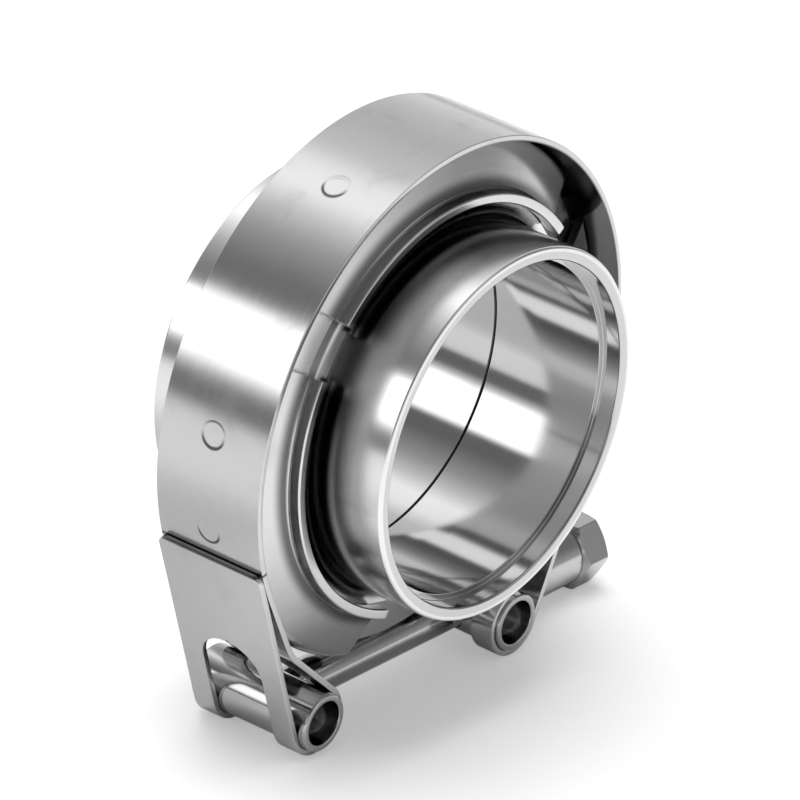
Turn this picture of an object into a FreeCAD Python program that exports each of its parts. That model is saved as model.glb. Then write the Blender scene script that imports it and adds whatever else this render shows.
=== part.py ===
"""V band clamp closed on a pair of flanges, with its T-bolt, barrels, sleeve and nut.

Frame: origin at the centre of the joint between the two flanges, Y along the pipe's axis
with the front flange at -Y, Z up and X along the T-bolt towards the nut. Millimetres.
Angles round the ring are counted clockwise from the top, seen from the front.
"""
import FreeCAD, Part
import math
import os
import Sketcher

# Driving sizes: alias, value, meaning
SIZES = [
    ("stub_radius", 27.5, "outer radius of each pipe stub"),
    ("stub_reach", 20.3, "end of each stub, along the pipe from the joint"),
    ("stub_wall", 2.0, "wall of the stub round the pipe socket"),
    ("socket_depth", 3.2, "pipe socket's depth to its stop"),
    ("socket_step", 0.9, "step from the pipe socket down to the free bore"),
    ("mouth_edge", 0.35, "chamfer round each stub's mouth"),
    ("root_rise", 2.7, "foot of the cone on a lip's back, above the stub"),
    ("root_fillet", 2.0, "fillet from there to the stub"),
    ("lip_clearance", 0.53, "flange lip to the back of the channel, radial"),
    ("lip_edge", 0.3, "chamfer round the lips"),
    ("joint_gap", 0.1, "gap between the two flange faces"),
    ("spigot_rise", 5.4, "locating spigot of the front flange, above the free bore"),
    ("spigot_length", 1.4, "spigot's reach past the joint plane"),
    ("spigot_clearance", 0.12, "recess over the spigot, radial and at its floor"),
    ("segment_thickness", 1.5, "sheet of the V-segments"),
    ("segment_foot_gap", 2.4, "flared foot of the channel over the stub, radial"),
    ("segment_foot_overhang", 0.15, "foot's end past the edge of the strap"),
    ("segment_foot_bend", 0.8, "inside bend radius at the foot"),
    ("segment_depth", 7.53, "channel from the outside of its foot to its back"),
    ("segment_half_flat", 4.4, "half the width of the channel's back, to the sharp corner"),
    ("segment_leg_angle", 20.0, "channel leg from the radial direction, degrees"),
    ("segment_bend", 0.5, "inside bend radius at the channel's back"),
    ("segment_span", 99.0, "arc of one V-segment, degrees"),
    ("side_segment_angle", 114.5, "centre of each side segment from the top, degrees"),
    ("wedge_clearance", 0.05, "channel leg to flange cone, square to the cone"),
    ("strap_thickness", 0.9, "sheet of the strap"),
    ("strap_width", 18.2, "strap, measured along the pipe"),
    ("eye_standoff", 7.05, "each loop's centre, outward from the strap's ring"),
    ("eye_angle", 28.0, "each loop's centre, from the bottom of the ring, degrees"),
    ("eye_clearance", 0.03, "loop over its barrel, radial"),
    ("lap_angle", 1.3, "folded ply lying on the strap past its tangent point, degrees"),
    ("weld_root", 0.3, "opening between strap and folded ply that the weld fills"),
    ("leg_angle", 118.0, "where the inner leg leaves the ring, from the top, degrees"),
    ("leg_run", 10.2, "inner leg's first straight, down to its bend"),
    ("leg_bend", 8.0, "inside radius of that bend"),
    ("slot_clearance", 0.6, "slot round each loop over the sleeve, to each side"),
    ("outer_slot_run", 15.4, "slot's end in the outer leg, up along it from the loop's centre"),
    ("inner_slot_rise", 10.0, "slot's end in the inner leg, above the loop's centre"),
    ("weld_mark_radius", 1.9, "spot-weld marks on the strap"),
    ("weld_mark_depth", 0.12, "depth of those marks"),
    ("top_weld_angle", 25.75, "marks over the top segment, from the top, degrees"),
    ("side_weld_angle", 104.0, "middle mark over each side segment, from the top, degrees"),
    ("side_weld_step", 21.5, "from that mark to the next on either side, degrees"),
    ("barrel_radius", 4.3, "T-head and trunnion barrels"),
    ("head_overhang", 1.2, "T-head barrel past each edge of the strap"),
    ("trunnion_overhang", 0.4, "trunnion barrel past each edge of the strap"),
    ("barrel_edge", 0.3, "chamfer at the barrels' ends"),
    ("recess_wall", 1.0, "wall of a barrel round the recess in its end"),
    ("recess_floor", 0.6, "floor of that recess over the cross hole"),
    ("shank_radius", 3.0, "T-bolt's shank, M6"),
    ("bolt_tip_reach", 1.4, "tip of the T-bolt past the nut"),
    ("bolt_tip_edge", 0.6, "chamfer at the bolt's tip"),
    ("cross_hole_clearance", 0.2, "trunnion's cross hole over the shank, radial"),
    ("sleeve_radius", 4.7, "outer radius of the sleeve"),
    ("sleeve_length", 17.1, "sleeve between trunnion and nut"),
    ("sleeve_bore_clearance", 0.2, "sleeve over the shank, radial"),
    ("sleeve_edge", 0.3, "chamfer at the sleeve's ends"),
    ("seat_gap", 0.03, "gap at each of the sleeve's two seats"),
    ("nut_across_flats", 10.0, "hexagon of the nut"),
    ("nut_height", 5.2, "nut along the bolt"),
    ("nut_crown_inset", 0.3, "flat ring left by the nut's corner chamfer, inside the flats"),
    ("nut_crown_angle", 30.0, "that chamfer, from the nut's face, degrees"),
    ("nut_thread_clearance", 0.06, "nut's bore over the shank, radial"),
    ("nut_mouth", 0.45, "chamfer of the nut's bore"),
]


class Size:
    """A size kept both as a number and as the sheet expression that gives it."""

    def __init__(self, value, text):
        self.value = float(value)
        self.text = text

    def _join(self, other, sign, value):
        return Size(value, "(%s %s %s)" % (self.text, sign, as_size(other).text))

    def __add__(self, other):
        return self._join(other, "+", self.value + as_size(other).value)

    def __sub__(self, other):
        return self._join(other, "-", self.value - as_size(other).value)

    def __rsub__(self, other):
        return as_size(other) - self

    def __mul__(self, other):
        return self._join(other, "*", self.value * as_size(other).value)

    def __truediv__(self, other):
        return self._join(other, "/", self.value / as_size(other).value)

    def __neg__(self):
        return Size(-self.value, "(-%s)" % self.text)


def as_size(item):
    """Give a plain number the same form as a sheet size."""
    return item if isinstance(item, Size) else Size(item, repr(float(item)))


def tan(angle):
    """Tangent of an angle in degrees."""
    return Size(math.tan(math.radians(angle.value)), "tan(%s)" % angle.text)


def cos(angle):
    """Cosine of an angle in degrees."""
    return Size(math.cos(math.radians(angle.value)), "cos(%s)" % angle.text)


def sin(angle):
    """Sine of an angle in degrees."""
    return Size(math.sin(math.radians(angle.value)), "sin(%s)" % angle.text)


def arc_cosine(ratio):
    """Angle in degrees whose cosine is given."""
    return Size(math.degrees(math.acos(ratio.value)), "(acos(%s) / 1 deg)" % ratio.text)


doc = FreeCAD.newDocument("VBandClamp")
sheet = doc.addObject("Spreadsheet::Sheet", "Sizes")
S = {}
for row, (alias, value, meaning) in enumerate(SIZES, start=1):
    sheet.set("A%d" % row, alias)
    sheet.set("B%d" % row, str(value))
    sheet.setAlias("B%d" % row, alias)
    sheet.set("C%d" % row, meaning)
    S[alias] = Size(value, "Sizes." + alias)
doc.recompute()


# Derived sizes, each written once: from the pipe stub outward, then along the bolt
socket_radius = S["stub_radius"] - S["stub_wall"]
bore_radius = socket_radius - S["socket_step"]
spigot_radius = bore_radius + S["spigot_rise"]
foot_inner_radius = S["stub_radius"] + S["segment_foot_gap"]
foot_outer_radius = foot_inner_radius + S["segment_thickness"]
foot_reach = S["strap_width"] / 2 + S["segment_foot_overhang"]
strap_inner_radius = foot_outer_radius + S["segment_depth"]
strap_outer_radius = strap_inner_radius + S["strap_thickness"]
channel_back_radius = strap_inner_radius - S["segment_thickness"]
lip_radius = channel_back_radius - S["lip_clearance"]
root_radius = S["stub_radius"] + S["root_rise"]
leg_slope = tan(S["segment_leg_angle"])
leg_cosine = cos(S["segment_leg_angle"])
eye_radius = S["barrel_radius"] + S["eye_clearance"]
eye_reach = strap_outer_radius + S["eye_standoff"]
eye_across = eye_reach * sin(S["eye_angle"])
eye_drop = eye_reach * cos(S["eye_angle"])
outer_leg_tilt = 90 - S["eye_angle"] - arc_cosine((strap_outer_radius - eye_radius) / eye_reach)
half_slot = S["sleeve_radius"] + S["slot_clearance"]
half_head = S["strap_width"] / 2 + S["head_overhang"]
half_trunnion = S["strap_width"] / 2 + S["trunnion_overhang"]
cross_hole_radius = S["shank_radius"] + S["cross_hole_clearance"]
recess_radius = S["barrel_radius"] - S["recess_wall"]
sleeve_start = eye_across + S["barrel_radius"] + S["seat_gap"]
sleeve_end = sleeve_start + S["sleeve_length"]
nut_start = sleeve_end + S["seat_gap"]
nut_end = nut_start + S["nut_height"]
bolt_end = nut_end + S["bolt_tip_reach"]


def leg_outside(radius):
    """Distance from the joint plane to the outside of the channel's leg."""
    return S["segment_half_flat"] + (strap_inner_radius - radius) * leg_slope


def leg_inside(radius):
    """Distance from the joint plane to the inside of the channel's leg."""
    return leg_outside(radius) - S["segment_thickness"] / leg_cosine


def cone_back(radius):
    """Distance from the joint plane to the cone on the back of a flange's lip."""
    return leg_inside(radius) - S["wedge_clearance"] / leg_cosine


# Small helpers for bodies, sketches and features
def new_body(name):
    body = doc.addObject("PartDesign::Body", name)
    body.Label = name
    return body


def origin_part(body, role):
    return [item for item in body.Origin.OriginFeatures if item.Role == role][0]


def new_sketch(body, name, role, offset=None):
    """Sketch on one of the body's origin planes, moved along the plane's normal by offset."""
    sketch = body.newObject("Sketcher::SketchObject", name)
    sketch.AttachmentSupport = [(origin_part(body, role), "")]
    sketch.MapMode = "FlatFace"
    if offset is not None:
        sketch.AttachmentOffset = FreeCAD.Placement(FreeCAD.Vector(0, 0, offset.value), FreeCAD.Rotation())
        sketch.setExpression("AttachmentOffset.Base.z", offset.text)
    return sketch


def vec(x, y):
    return FreeCAD.Vector(x, y, 0)


def bind(sketch, constraint, size=None):
    """Add a constraint and tie its value to the sheet."""
    number = sketch.addConstraint(constraint)
    if size is not None:
        sketch.setExpression("Constraints[%d]" % number, size.text)
    return number


def place_point(sketch, geometry, which, x, y):
    """Fix a point of the sketch by its two coordinates."""
    for kind, axis_point, size in (("DistanceX", -1, x), ("DistanceY", -1, y)):
        constraint = Sketcher.Constraint(kind, axis_point, 1, geometry, which, size.value)
        bind(sketch, constraint, size)


def draw_polygon(sketch, corners):
    """Closed outline through the given corners, each fixed by two sheet expressions.

    A corner is (x, y), or (x, y, bend) where the outline turns through an arc of that radius.
    """
    corners = [[as_size(item) for item in corner] for corner in corners]
    spots = [vec(corner[0].value, corner[1].value) for corner in corners]
    count = len(corners)
    arrive = list(spots)
    leave = list(spots)
    arcs = {}
    for index, corner in enumerate(corners):
        if len(corner) < 3:
            continue
        back = (spots[index - 1] - spots[index]).normalize()
        ahead = (spots[(index + 1) % count] - spots[index]).normalize()
        half = back.getAngle(ahead) / 2
        bend = corner[2].value
        arrive[index] = spots[index] + back * (bend / math.tan(half))
        leave[index] = spots[index] + ahead * (bend / math.tan(half))
        centre = spots[index] + (back + ahead).normalize() * (bend / math.sin(half))
        arcs[index] = (centre, bend, back.cross(ahead).z < 0)
    first = sketch.GeometryCount
    for index in range(count):
        sketch.addGeometry(Part.LineSegment(leave[index], arrive[(index + 1) % count]))
    for index, corner in enumerate(corners):
        line_in = first + (index - 1) % count
        line_out = first + index
        if index not in arcs:
            bind(sketch, Sketcher.Constraint("Coincident", line_in, 2, line_out, 1))
            place_point(sketch, line_out, 1, corner[0], corner[1])
            continue
        centre, bend, turns_left = arcs[index]
        ends = (arrive[index], leave[index]) if turns_left else (leave[index], arrive[index])
        turns = [math.atan2(end.y - centre.y, end.x - centre.x) for end in ends]
        circle = Part.Circle(centre, FreeCAD.Vector(0, 0, 1), bend)
        arc = sketch.addGeometry(Part.ArcOfCircle(circle, turns[0], turns[1]))
        sharp = sketch.addGeometry(Part.Point(spots[index]), True)
        bind(sketch, Sketcher.Constraint("Tangent", line_in, 2, arc, 1 if turns_left else 2))
        bind(sketch, Sketcher.Constraint("Tangent", arc, 2 if turns_left else 1, line_out, 1))
        bind(sketch, Sketcher.Constraint("Radius", arc, bend), corner[2])
        bind(sketch, Sketcher.Constraint("PointOnObject", sharp, 1, line_in))
        bind(sketch, Sketcher.Constraint("PointOnObject", sharp, 1, line_out))
        place_point(sketch, sharp, 1, corner[0], corner[1])


def draw_circle(sketch, x, y, radius):
    x, y, radius = as_size(x), as_size(y), as_size(radius)
    circle = Part.Circle(vec(x.value, y.value), FreeCAD.Vector(0, 0, 1), radius.value)
    number = sketch.addGeometry(circle)
    bind(sketch, Sketcher.Constraint("Radius", number, radius.value), radius)
    place_point(sketch, number, 3, x, y)


def draw_window(sketch, half_width, bottom, top):
    """Upright window about the sketch's vertical axis, square below and round above."""
    spring = top - half_width
    right, low, high = half_width.value, bottom.value, spring.value
    circle = Part.Circle(vec(0, high), FreeCAD.Vector(0, 0, 1), right)
    sill = sketch.addGeometry(Part.LineSegment(vec(-right, low), vec(right, low)))
    right_side = sketch.addGeometry(Part.LineSegment(vec(right, low), vec(right, high)))
    arch = sketch.addGeometry(Part.ArcOfCircle(circle, 0, math.pi))
    left_side = sketch.addGeometry(Part.LineSegment(vec(-right, high), vec(-right, low)))
    bind(sketch, Sketcher.Constraint("Coincident", sill, 2, right_side, 1))
    bind(sketch, Sketcher.Constraint("Tangent", right_side, 2, arch, 1))
    bind(sketch, Sketcher.Constraint("Tangent", arch, 2, left_side, 1))
    bind(sketch, Sketcher.Constraint("Coincident", left_side, 2, sill, 1))
    bind(sketch, Sketcher.Constraint("Horizontal", sill))
    bind(sketch, Sketcher.Constraint("Vertical", right_side))
    bind(sketch, Sketcher.Constraint("Vertical", left_side))
    place_point(sketch, sill, 1, -half_width, bottom)
    bind(sketch, Sketcher.Constraint("DistanceX", -1, 1, sill, 2, right), half_width)
    bind(sketch, Sketcher.Constraint("DistanceY", -1, 1, arch, 3, high), spring)


def pad(body, sketch, name, length, side="One side", against=False):
    feature = body.newObject("PartDesign::Pad", name)
    feature.Profile = sketch
    feature.Type = "Length"
    feature.SideType = side
    feature.Reversed = against
    feature.setExpression("Length", length.text)
    sketch.Visibility = False
    doc.recompute()
    return feature


def pocket(body, sketch, name, length, side="One side", against=False):
    """Cut a sketch out of the body and make sure that it removes material."""
    before = body.Shape.Volume
    feature = body.newObject("PartDesign::Pocket", name)
    feature.Profile = sketch
    feature.Type = "Length"
    feature.SideType = side
    feature.Reversed = against
    feature.setExpression("Length", length.text)
    sketch.Visibility = False
    doc.recompute()
    if not body.Shape.Volume < before:
        raise RuntimeError("%s cuts nothing" % name)
    return feature


def revolve(body, sketch, name, angle, axis="H_Axis", cut=False):
    """Turn a sketch about an axis of its own, evenly to both sides."""
    before = body.Shape.Volume if cut else 0
    kind = "PartDesign::Groove" if cut else "PartDesign::Revolution"
    feature = body.newObject(kind, name)
    feature.Profile = sketch
    feature.ReferenceAxis = (sketch, [axis])
    feature.Type = "Angle"
    feature.Midplane = True
    if isinstance(angle, Size):
        feature.setExpression("Angle", angle.text)
    else:
        feature.Angle = angle
    sketch.Visibility = False
    doc.recompute()
    if cut and not body.Shape.Volume < before:
        raise RuntimeError("%s cuts nothing" % name)
    return feature


def round_edges(shape, axis, centre, spots):
    """Names of the circular edges about an axis that pass through the given (along, radius) spots."""
    names = []
    for number, edge in enumerate(shape.Edges, start=1):
        curve = edge.Curve
        if curve.TypeId != "Part::GeomCircle" or abs(abs(curve.Axis.dot(axis)) - 1) > 1e-6:
            continue
        arm = curve.Center - centre
        along = arm.dot(axis)
        if (arm - axis * along).Length > 1e-4:
            continue
        for spot_along, spot_radius in spots:
            if abs(along - spot_along.value) < 1e-3 and abs(curve.Radius - spot_radius.value) < 1e-3:
                names.append("Edge%d" % number)
    return names


def chamfer(body, name, edges, size):
    """Chamfer the named edges of the body's last feature."""
    if not edges:
        raise RuntimeError("%s finds no edge" % name)
    base = body.Tip
    feature = body.newObject("PartDesign::Chamfer", name)
    feature.Base = (base, edges)
    feature.setExpression("Size", size.text)
    doc.recompute()
    return feature


ALONG_X = FreeCAD.Vector(1, 0, 0)
ALONG_Y = FreeCAD.Vector(0, 1, 0)
ALONG_SKETCH_NORMAL = FreeCAD.Vector(0, 0, 1)
AGAINST_SKETCH_X = FreeCAD.Vector(-1, 0, 0)
PIPE_CENTRE = FreeCAD.Vector(0, 0, 0)


# The strap: one strip round the ring, each end turned back over its barrel and welded down
def draw_strap(sketch):
    """Left half of the strap seen along the pipe: ring, bent inner leg, loop, outer leg and lap."""
    ring = strap_outer_radius.value
    sheet_metal = S["strap_thickness"].value
    inner = strap_inner_radius.value
    eye = eye_radius.value
    eye_at = vec(-eye_across.value, -eye_drop.value)
    root = S["weld_root"].value
    bend = S["leg_bend"].value
    up = FreeCAD.Vector(0, 0, 1)
    centre = vec(0, 0)

    def at(middle_point, radius, turn):
        return middle_point + vec(math.cos(turn), math.sin(turn)) * radius

    outer_turn = math.pi + math.radians(outer_leg_tilt.value)
    lap_turn = outer_turn - math.radians(S["lap_angle"].value)
    leg_turn = math.pi / 2 + math.radians(S["leg_angle"].value)
    leg_way = vec(-math.sin(leg_turn), math.cos(leg_turn))
    leg_foot = at(centre, inner, leg_turn)
    bend_start = leg_foot + leg_way * S["leg_run"].value
    bend_centre = at(bend_start, -bend, leg_turn)
    to_eye = eye_at - bend_centre
    bearing = math.atan2(to_eye.y, to_eye.x) % (2 * math.pi)
    inner_turn = bearing - math.acos((bend + eye + sheet_metal) / to_eye.Length)
    # The weld's root is where the two plies stand apart by its opening, square to the inner one
    ply_angle = leg_turn - outer_turn
    crossing = at(centre, ring / math.cos(ply_angle / 2), (leg_turn + outer_turn) / 2)
    root_inner = crossing + leg_way * (root / math.tan(ply_angle))
    root_outer = at(root_inner, root, leg_turn)

    def arc(middle_point, radius, start, end):
        return sketch.addGeometry(Part.ArcOfCircle(Part.Circle(middle_point, up, radius), start, end))

    def line(start, end):
        return sketch.addGeometry(Part.LineSegment(start, end))

    # Outline
    ring_arc = arc(centre, ring, math.pi / 2, lap_turn)
    lap_face = line(at(centre, ring, lap_turn), at(centre, ring + sheet_metal, lap_turn))
    lap_arc = arc(centre, ring + sheet_metal, lap_turn, outer_turn)
    outer_leg = line(at(centre, ring + sheet_metal, outer_turn), at(eye_at, eye + sheet_metal, outer_turn))
    loop_arc = arc(eye_at, eye + sheet_metal, outer_turn, inner_turn + math.pi)
    leg_lower = line(at(eye_at, eye + sheet_metal, inner_turn + math.pi), at(bend_centre, bend, inner_turn))
    leg_arc = arc(bend_centre, bend, leg_turn, inner_turn)
    leg_upper = line(bend_start, leg_foot)
    inside_arc = arc(centre, inner, math.pi / 2, leg_turn)
    middle = line(vec(0, inner), vec(0, ring))
    # Window between the two legs and the loop
    outside_bend = bend + sheet_metal
    window_upper = line(root_inner, at(bend_centre, outside_bend, leg_turn))
    window_arc = arc(bend_centre, outside_bend, leg_turn, inner_turn)
    window_lower = line(at(bend_centre, outside_bend, inner_turn), at(eye_at, eye, inner_turn + math.pi))
    eye_arc = arc(eye_at, eye, outer_turn, inner_turn + math.pi)
    window_outer = line(at(eye_at, eye, outer_turn), root_outer)
    weld_face = line(root_outer, root_inner)

    def join(kind, first, first_point, second, second_point):
        bind(sketch, Sketcher.Constraint(kind, first, first_point, second, second_point))

    for item in (ring_arc, lap_arc, inside_arc):
        join("Coincident", item, 3, -1, 1)
    join("Coincident", eye_arc, 3, loop_arc, 3)
    join("Coincident", window_arc, 3, leg_arc, 3)
    join("Coincident", ring_arc, 2, lap_face, 1)
    join("Coincident", lap_face, 2, lap_arc, 1)
    join("Tangent", lap_arc, 2, outer_leg, 1)
    join("Tangent", outer_leg, 2, loop_arc, 1)
    join("Tangent", loop_arc, 2, leg_lower, 1)
    join("Tangent", leg_lower, 2, leg_arc, 2)
    join("Tangent", leg_arc, 1, leg_upper, 1)
    join("Tangent", leg_upper, 2, inside_arc, 2)
    join("Coincident", inside_arc, 1, middle, 1)
    join("Coincident", middle, 2, ring_arc, 1)
    join("Tangent", window_upper, 2, window_arc, 1)
    join("Tangent", window_arc, 2, window_lower, 1)
    join("Tangent", window_lower, 2, eye_arc, 2)
    join("Tangent", eye_arc, 1, window_outer, 1)
    join("Coincident", window_outer, 2, weld_face, 1)
    join("Coincident", weld_face, 2, window_upper, 1)
    bind(sketch, Sketcher.Constraint("PointOnObject", ring_arc, 1, -2))
    bind(sketch, Sketcher.Constraint("PointOnObject", inside_arc, 1, -2))
    bind(sketch, Sketcher.Constraint("PointOnObject", -1, 1, lap_face))
    bind(sketch, Sketcher.Constraint("Perpendicular", weld_face, window_upper))
    bind(sketch, Sketcher.Constraint("Parallel", window_upper, leg_upper))
    bind(sketch, Sketcher.Constraint("Tangent", window_upper, ring_arc))
    bind(sketch, Sketcher.Constraint("Tangent", window_outer, ring_arc))
    for item, size in ((ring_arc, strap_outer_radius),
                       (lap_arc, strap_outer_radius + S["strap_thickness"]),
                       (inside_arc, strap_inner_radius),
                       (leg_arc, S["leg_bend"]),
                       (loop_arc, eye_radius + S["strap_thickness"]),
                       (eye_arc, eye_radius)):
        bind(sketch, Sketcher.Constraint("Radius", item, size.value), size)
    for item, size in ((lap_arc, S["lap_angle"]), (inside_arc, S["leg_angle"])):
        span = Sketcher.Constraint("Angle", item, math.radians(size.value))
        bind(sketch, span, Size(size.value, size.text + " * 1 deg"))
    for item, size in ((weld_face, S["weld_root"]), (leg_upper, S["leg_run"])):
        bind(sketch, Sketcher.Constraint("Distance", item, size.value), size)
    place_point(sketch, loop_arc, 3, -eye_across, -eye_drop)


def make_band():
    body = new_body("band")
    profile = new_sketch(body, "StrapProfile", "XZ_Plane")
    draw_strap(profile)
    pad(body, profile, "StrapPad", S["strap_width"], side="Symmetric")
    add_slot(body)
    mirrored = body.newObject("PartDesign::Mirrored", "OtherHalf")
    mirrored.TransformMode = "Whole shape"
    mirrored.MirrorPlane = (origin_part(body, "YZ_Plane"), [""])
    mirrored.Refine = True
    body.Tip = mirrored
    doc.recompute()
    for side in (-1, 1):
        add_weld_mark(body, S["top_weld_angle"] * side)
        for step in (-1, 0, 1):
            add_weld_mark(body, (S["side_weld_angle"] + S["side_weld_step"] * step) * side)
    return body


def add_slot(body):
    """Slot that lets the bolt through: round the loop, up the inner leg and up the outer leg."""
    loop_outside = eye_radius + S["strap_thickness"]
    past_loop = loop_outside + S["strap_thickness"]
    window = new_sketch(body, "LoopSlotProfile", "YZ_Plane", offset=-eye_across)
    draw_window(window, half_slot, -(eye_drop + past_loop), S["inner_slot_rise"] - eye_drop)
    past_legs = past_loop + S["inner_slot_rise"] * tan(outer_leg_tilt)
    pocket(body, window, "LoopSlot", past_legs * 2, side="Symmetric")
    # The outer leg's part is drawn on the leg's own face and cut inwards, short of the inner leg
    outer = new_sketch(body, "OuterSlotProfile", "YZ_Plane")
    across = -eye_across - loop_outside * cos(outer_leg_tilt)
    height = -eye_drop - loop_outside * sin(outer_leg_tilt)
    outer.AttachmentOffset = FreeCAD.Placement(FreeCAD.Vector(0, height.value, across.value),
                                               FreeCAD.Rotation(AGAINST_SKETCH_X, outer_leg_tilt.value))
    outer.setExpression("AttachmentOffset.Base.y", height.text)
    outer.setExpression("AttachmentOffset.Base.z", across.text)
    outer.setExpression("AttachmentOffset.Rotation.Angle", outer_leg_tilt.text + " * 1 deg")
    draw_window(outer, half_slot, -S["strap_thickness"], S["outer_slot_run"])
    pocket(body, outer, "OuterSlot", S["strap_thickness"] * 1.5, against=True)


def add_weld_mark(body, angle):
    """Round flat-bottomed mark of a spot weld on the strap, at an angle from the top."""
    name = ("WeldMark%+.1f" % angle.value).replace("+", "Right").replace("-", "Left").replace(".", "_")
    profile = new_sketch(body, name + "Profile", "XZ_Plane")
    turned = FreeCAD.Rotation(ALONG_SKETCH_NORMAL, -angle.value)
    profile.AttachmentOffset = FreeCAD.Placement(PIPE_CENTRE, turned)
    profile.setExpression("AttachmentOffset.Rotation.Angle", (-angle).text + " * 1 deg")
    edge = S["weld_mark_radius"]
    floor = strap_outer_radius - S["weld_mark_depth"]
    top = strap_outer_radius + S["weld_mark_depth"]
    draw_polygon(profile, [(0, floor), (edge, floor), (edge, top), (0, top)])
    revolve(body, profile, name, 360, axis="V_Axis", cut=True)


# V-segments: rolled channels whose legs wedge the flange lips together
def make_segment(name, angle):
    body = new_body(name)
    profile = new_sketch(body, name + "_profile", "YZ_Plane")
    sheet_metal = S["segment_thickness"]
    front = [
        (-S["segment_half_flat"], strap_inner_radius, S["segment_bend"] + sheet_metal),
        (-leg_outside(foot_outer_radius), foot_outer_radius, S["segment_foot_bend"]),
        (-foot_reach, foot_outer_radius),
        (-foot_reach, foot_inner_radius),
        (-leg_inside(foot_inner_radius), foot_inner_radius, S["segment_foot_bend"] + sheet_metal),
        (-leg_inside(channel_back_radius), channel_back_radius, S["segment_bend"]),
    ]
    back = [(-corner[0],) + corner[1:] for corner in reversed(front)]
    draw_polygon(profile, front + back)
    revolve(body, profile, name + "_roll", S["segment_span"])
    body.Placement = FreeCAD.Placement(PIPE_CENTRE, FreeCAD.Rotation(ALONG_Y, angle.value))
    body.setExpression("Placement.Rotation.Angle", angle.text + " * 1 deg")
    doc.recompute()
    return body


# Flanges: turned rings with a conical back, a pipe stub and a register at the joint
def make_flange(name, side, male):
    """side is -1 for the front flange and 1 for the rear one."""
    body = new_body(name)
    profile = new_sketch(body, name + "_profile", "YZ_Plane")
    end = S["stub_reach"] * side
    stop = (S["stub_reach"] - S["socket_depth"]) * side
    face = S["joint_gap"] / 2 * side
    lip_back = cone_back(lip_radius) * side
    root = cone_back(root_radius) * side
    if male:
        register = S["spigot_length"] * -side
        register_radius = spigot_radius
    else:
        register = (S["spigot_length"] + S["spigot_clearance"]) * side
        register_radius = spigot_radius + S["spigot_clearance"]
    corners = [
        (end, socket_radius),
        (stop, socket_radius),
        (stop, bore_radius),
        (register, bore_radius),
        (register, register_radius),
        (face, register_radius),
        (face, lip_radius),
        (lip_back, lip_radius),
        (root, root_radius),
        (root, S["stub_radius"], S["root_fillet"]),
        (end, S["stub_radius"]),
    ]
    draw_polygon(profile, corners)
    revolve(body, profile, name + "_turning", 360)
    lip_edges = [(lip_back, lip_radius), (face, lip_radius)]
    mouth_edges = [(end, S["stub_radius"]), (end, socket_radius)]
    chamfer(body, name + "_lip_edges",
            round_edges(body.Shape, ALONG_Y, PIPE_CENTRE, lip_edges), S["lip_edge"])
    chamfer(body, name + "_mouth_edges",
            round_edges(body.Shape, ALONG_Y, PIPE_CENTRE, mouth_edges), S["mouth_edge"])
    return body


# Barrels: the T-bolt's head on the left and the trunnion on the right
def add_barrel(body, across, half_barrel):
    """Barrel along the pipe with a recess in each end, centred at the loop."""
    recess_depth = half_barrel - cross_hole_radius - S["recess_floor"]
    outline = new_sketch(body, body.Name + "_barrel_profile", "XZ_Plane")
    draw_circle(outline, across, -eye_drop, S["barrel_radius"])
    pad(body, outline, body.Name + "_barrel", half_barrel * 2, side="Symmetric")
    centre = FreeCAD.Vector(across.value, 0, -eye_drop.value)
    ends = [(half_barrel, S["barrel_radius"]), (-half_barrel, S["barrel_radius"])]
    chamfer(body, body.Name + "_barrel_edges",
            round_edges(body.Shape, ALONG_Y, centre, ends), S["barrel_edge"])
    for label, offset, against in (("front", half_barrel, False), ("rear", -half_barrel, True)):
        circle = new_sketch(body, body.Name + "_%s_recess_profile" % label, "XZ_Plane", offset=offset)
        draw_circle(circle, across, -eye_drop, recess_radius)
        pocket(body, circle, body.Name + "_%s_recess" % label, recess_depth, against=against)


def make_t_bolt():
    body = new_body("t_bolt")
    add_barrel(body, -eye_across, half_head)
    section = new_sketch(body, "ShankProfile", "YZ_Plane", offset=-eye_across)
    draw_circle(section, 0, -eye_drop, S["shank_radius"])
    pad(body, section, "Shank", bolt_end + eye_across)
    centre = FreeCAD.Vector(0, 0, -eye_drop.value)
    tip = round_edges(body.Shape, ALONG_X, centre, [(bolt_end, S["shank_radius"])])
    chamfer(body, "ShankTip", tip, S["bolt_tip_edge"])
    return body


def make_trunnion():
    body = new_body("trunnion")
    add_barrel(body, eye_across, half_trunnion)
    hole = new_sketch(body, "CrossHoleProfile", "YZ_Plane", offset=eye_across)
    draw_circle(hole, 0, -eye_drop, cross_hole_radius)
    pocket(body, hole, "CrossHole", S["barrel_radius"] * 2, side="Symmetric")
    return body


# Sleeve and nut on the bolt's free end
def make_sleeve():
    body = new_body("sleeve")
    outline = new_sketch(body, "SleeveProfile", "YZ_Plane", offset=sleeve_start)
    draw_circle(outline, 0, -eye_drop, S["sleeve_radius"])
    draw_circle(outline, 0, -eye_drop, S["shank_radius"] + S["sleeve_bore_clearance"])
    pad(body, outline, "SleeveTube", S["sleeve_length"])
    centre = FreeCAD.Vector(0, 0, -eye_drop.value)
    ends = [(sleeve_start, S["sleeve_radius"]), (sleeve_end, S["sleeve_radius"])]
    chamfer(body, "SleeveEdges", round_edges(body.Shape, ALONG_X, centre, ends), S["sleeve_edge"])
    return body


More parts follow.
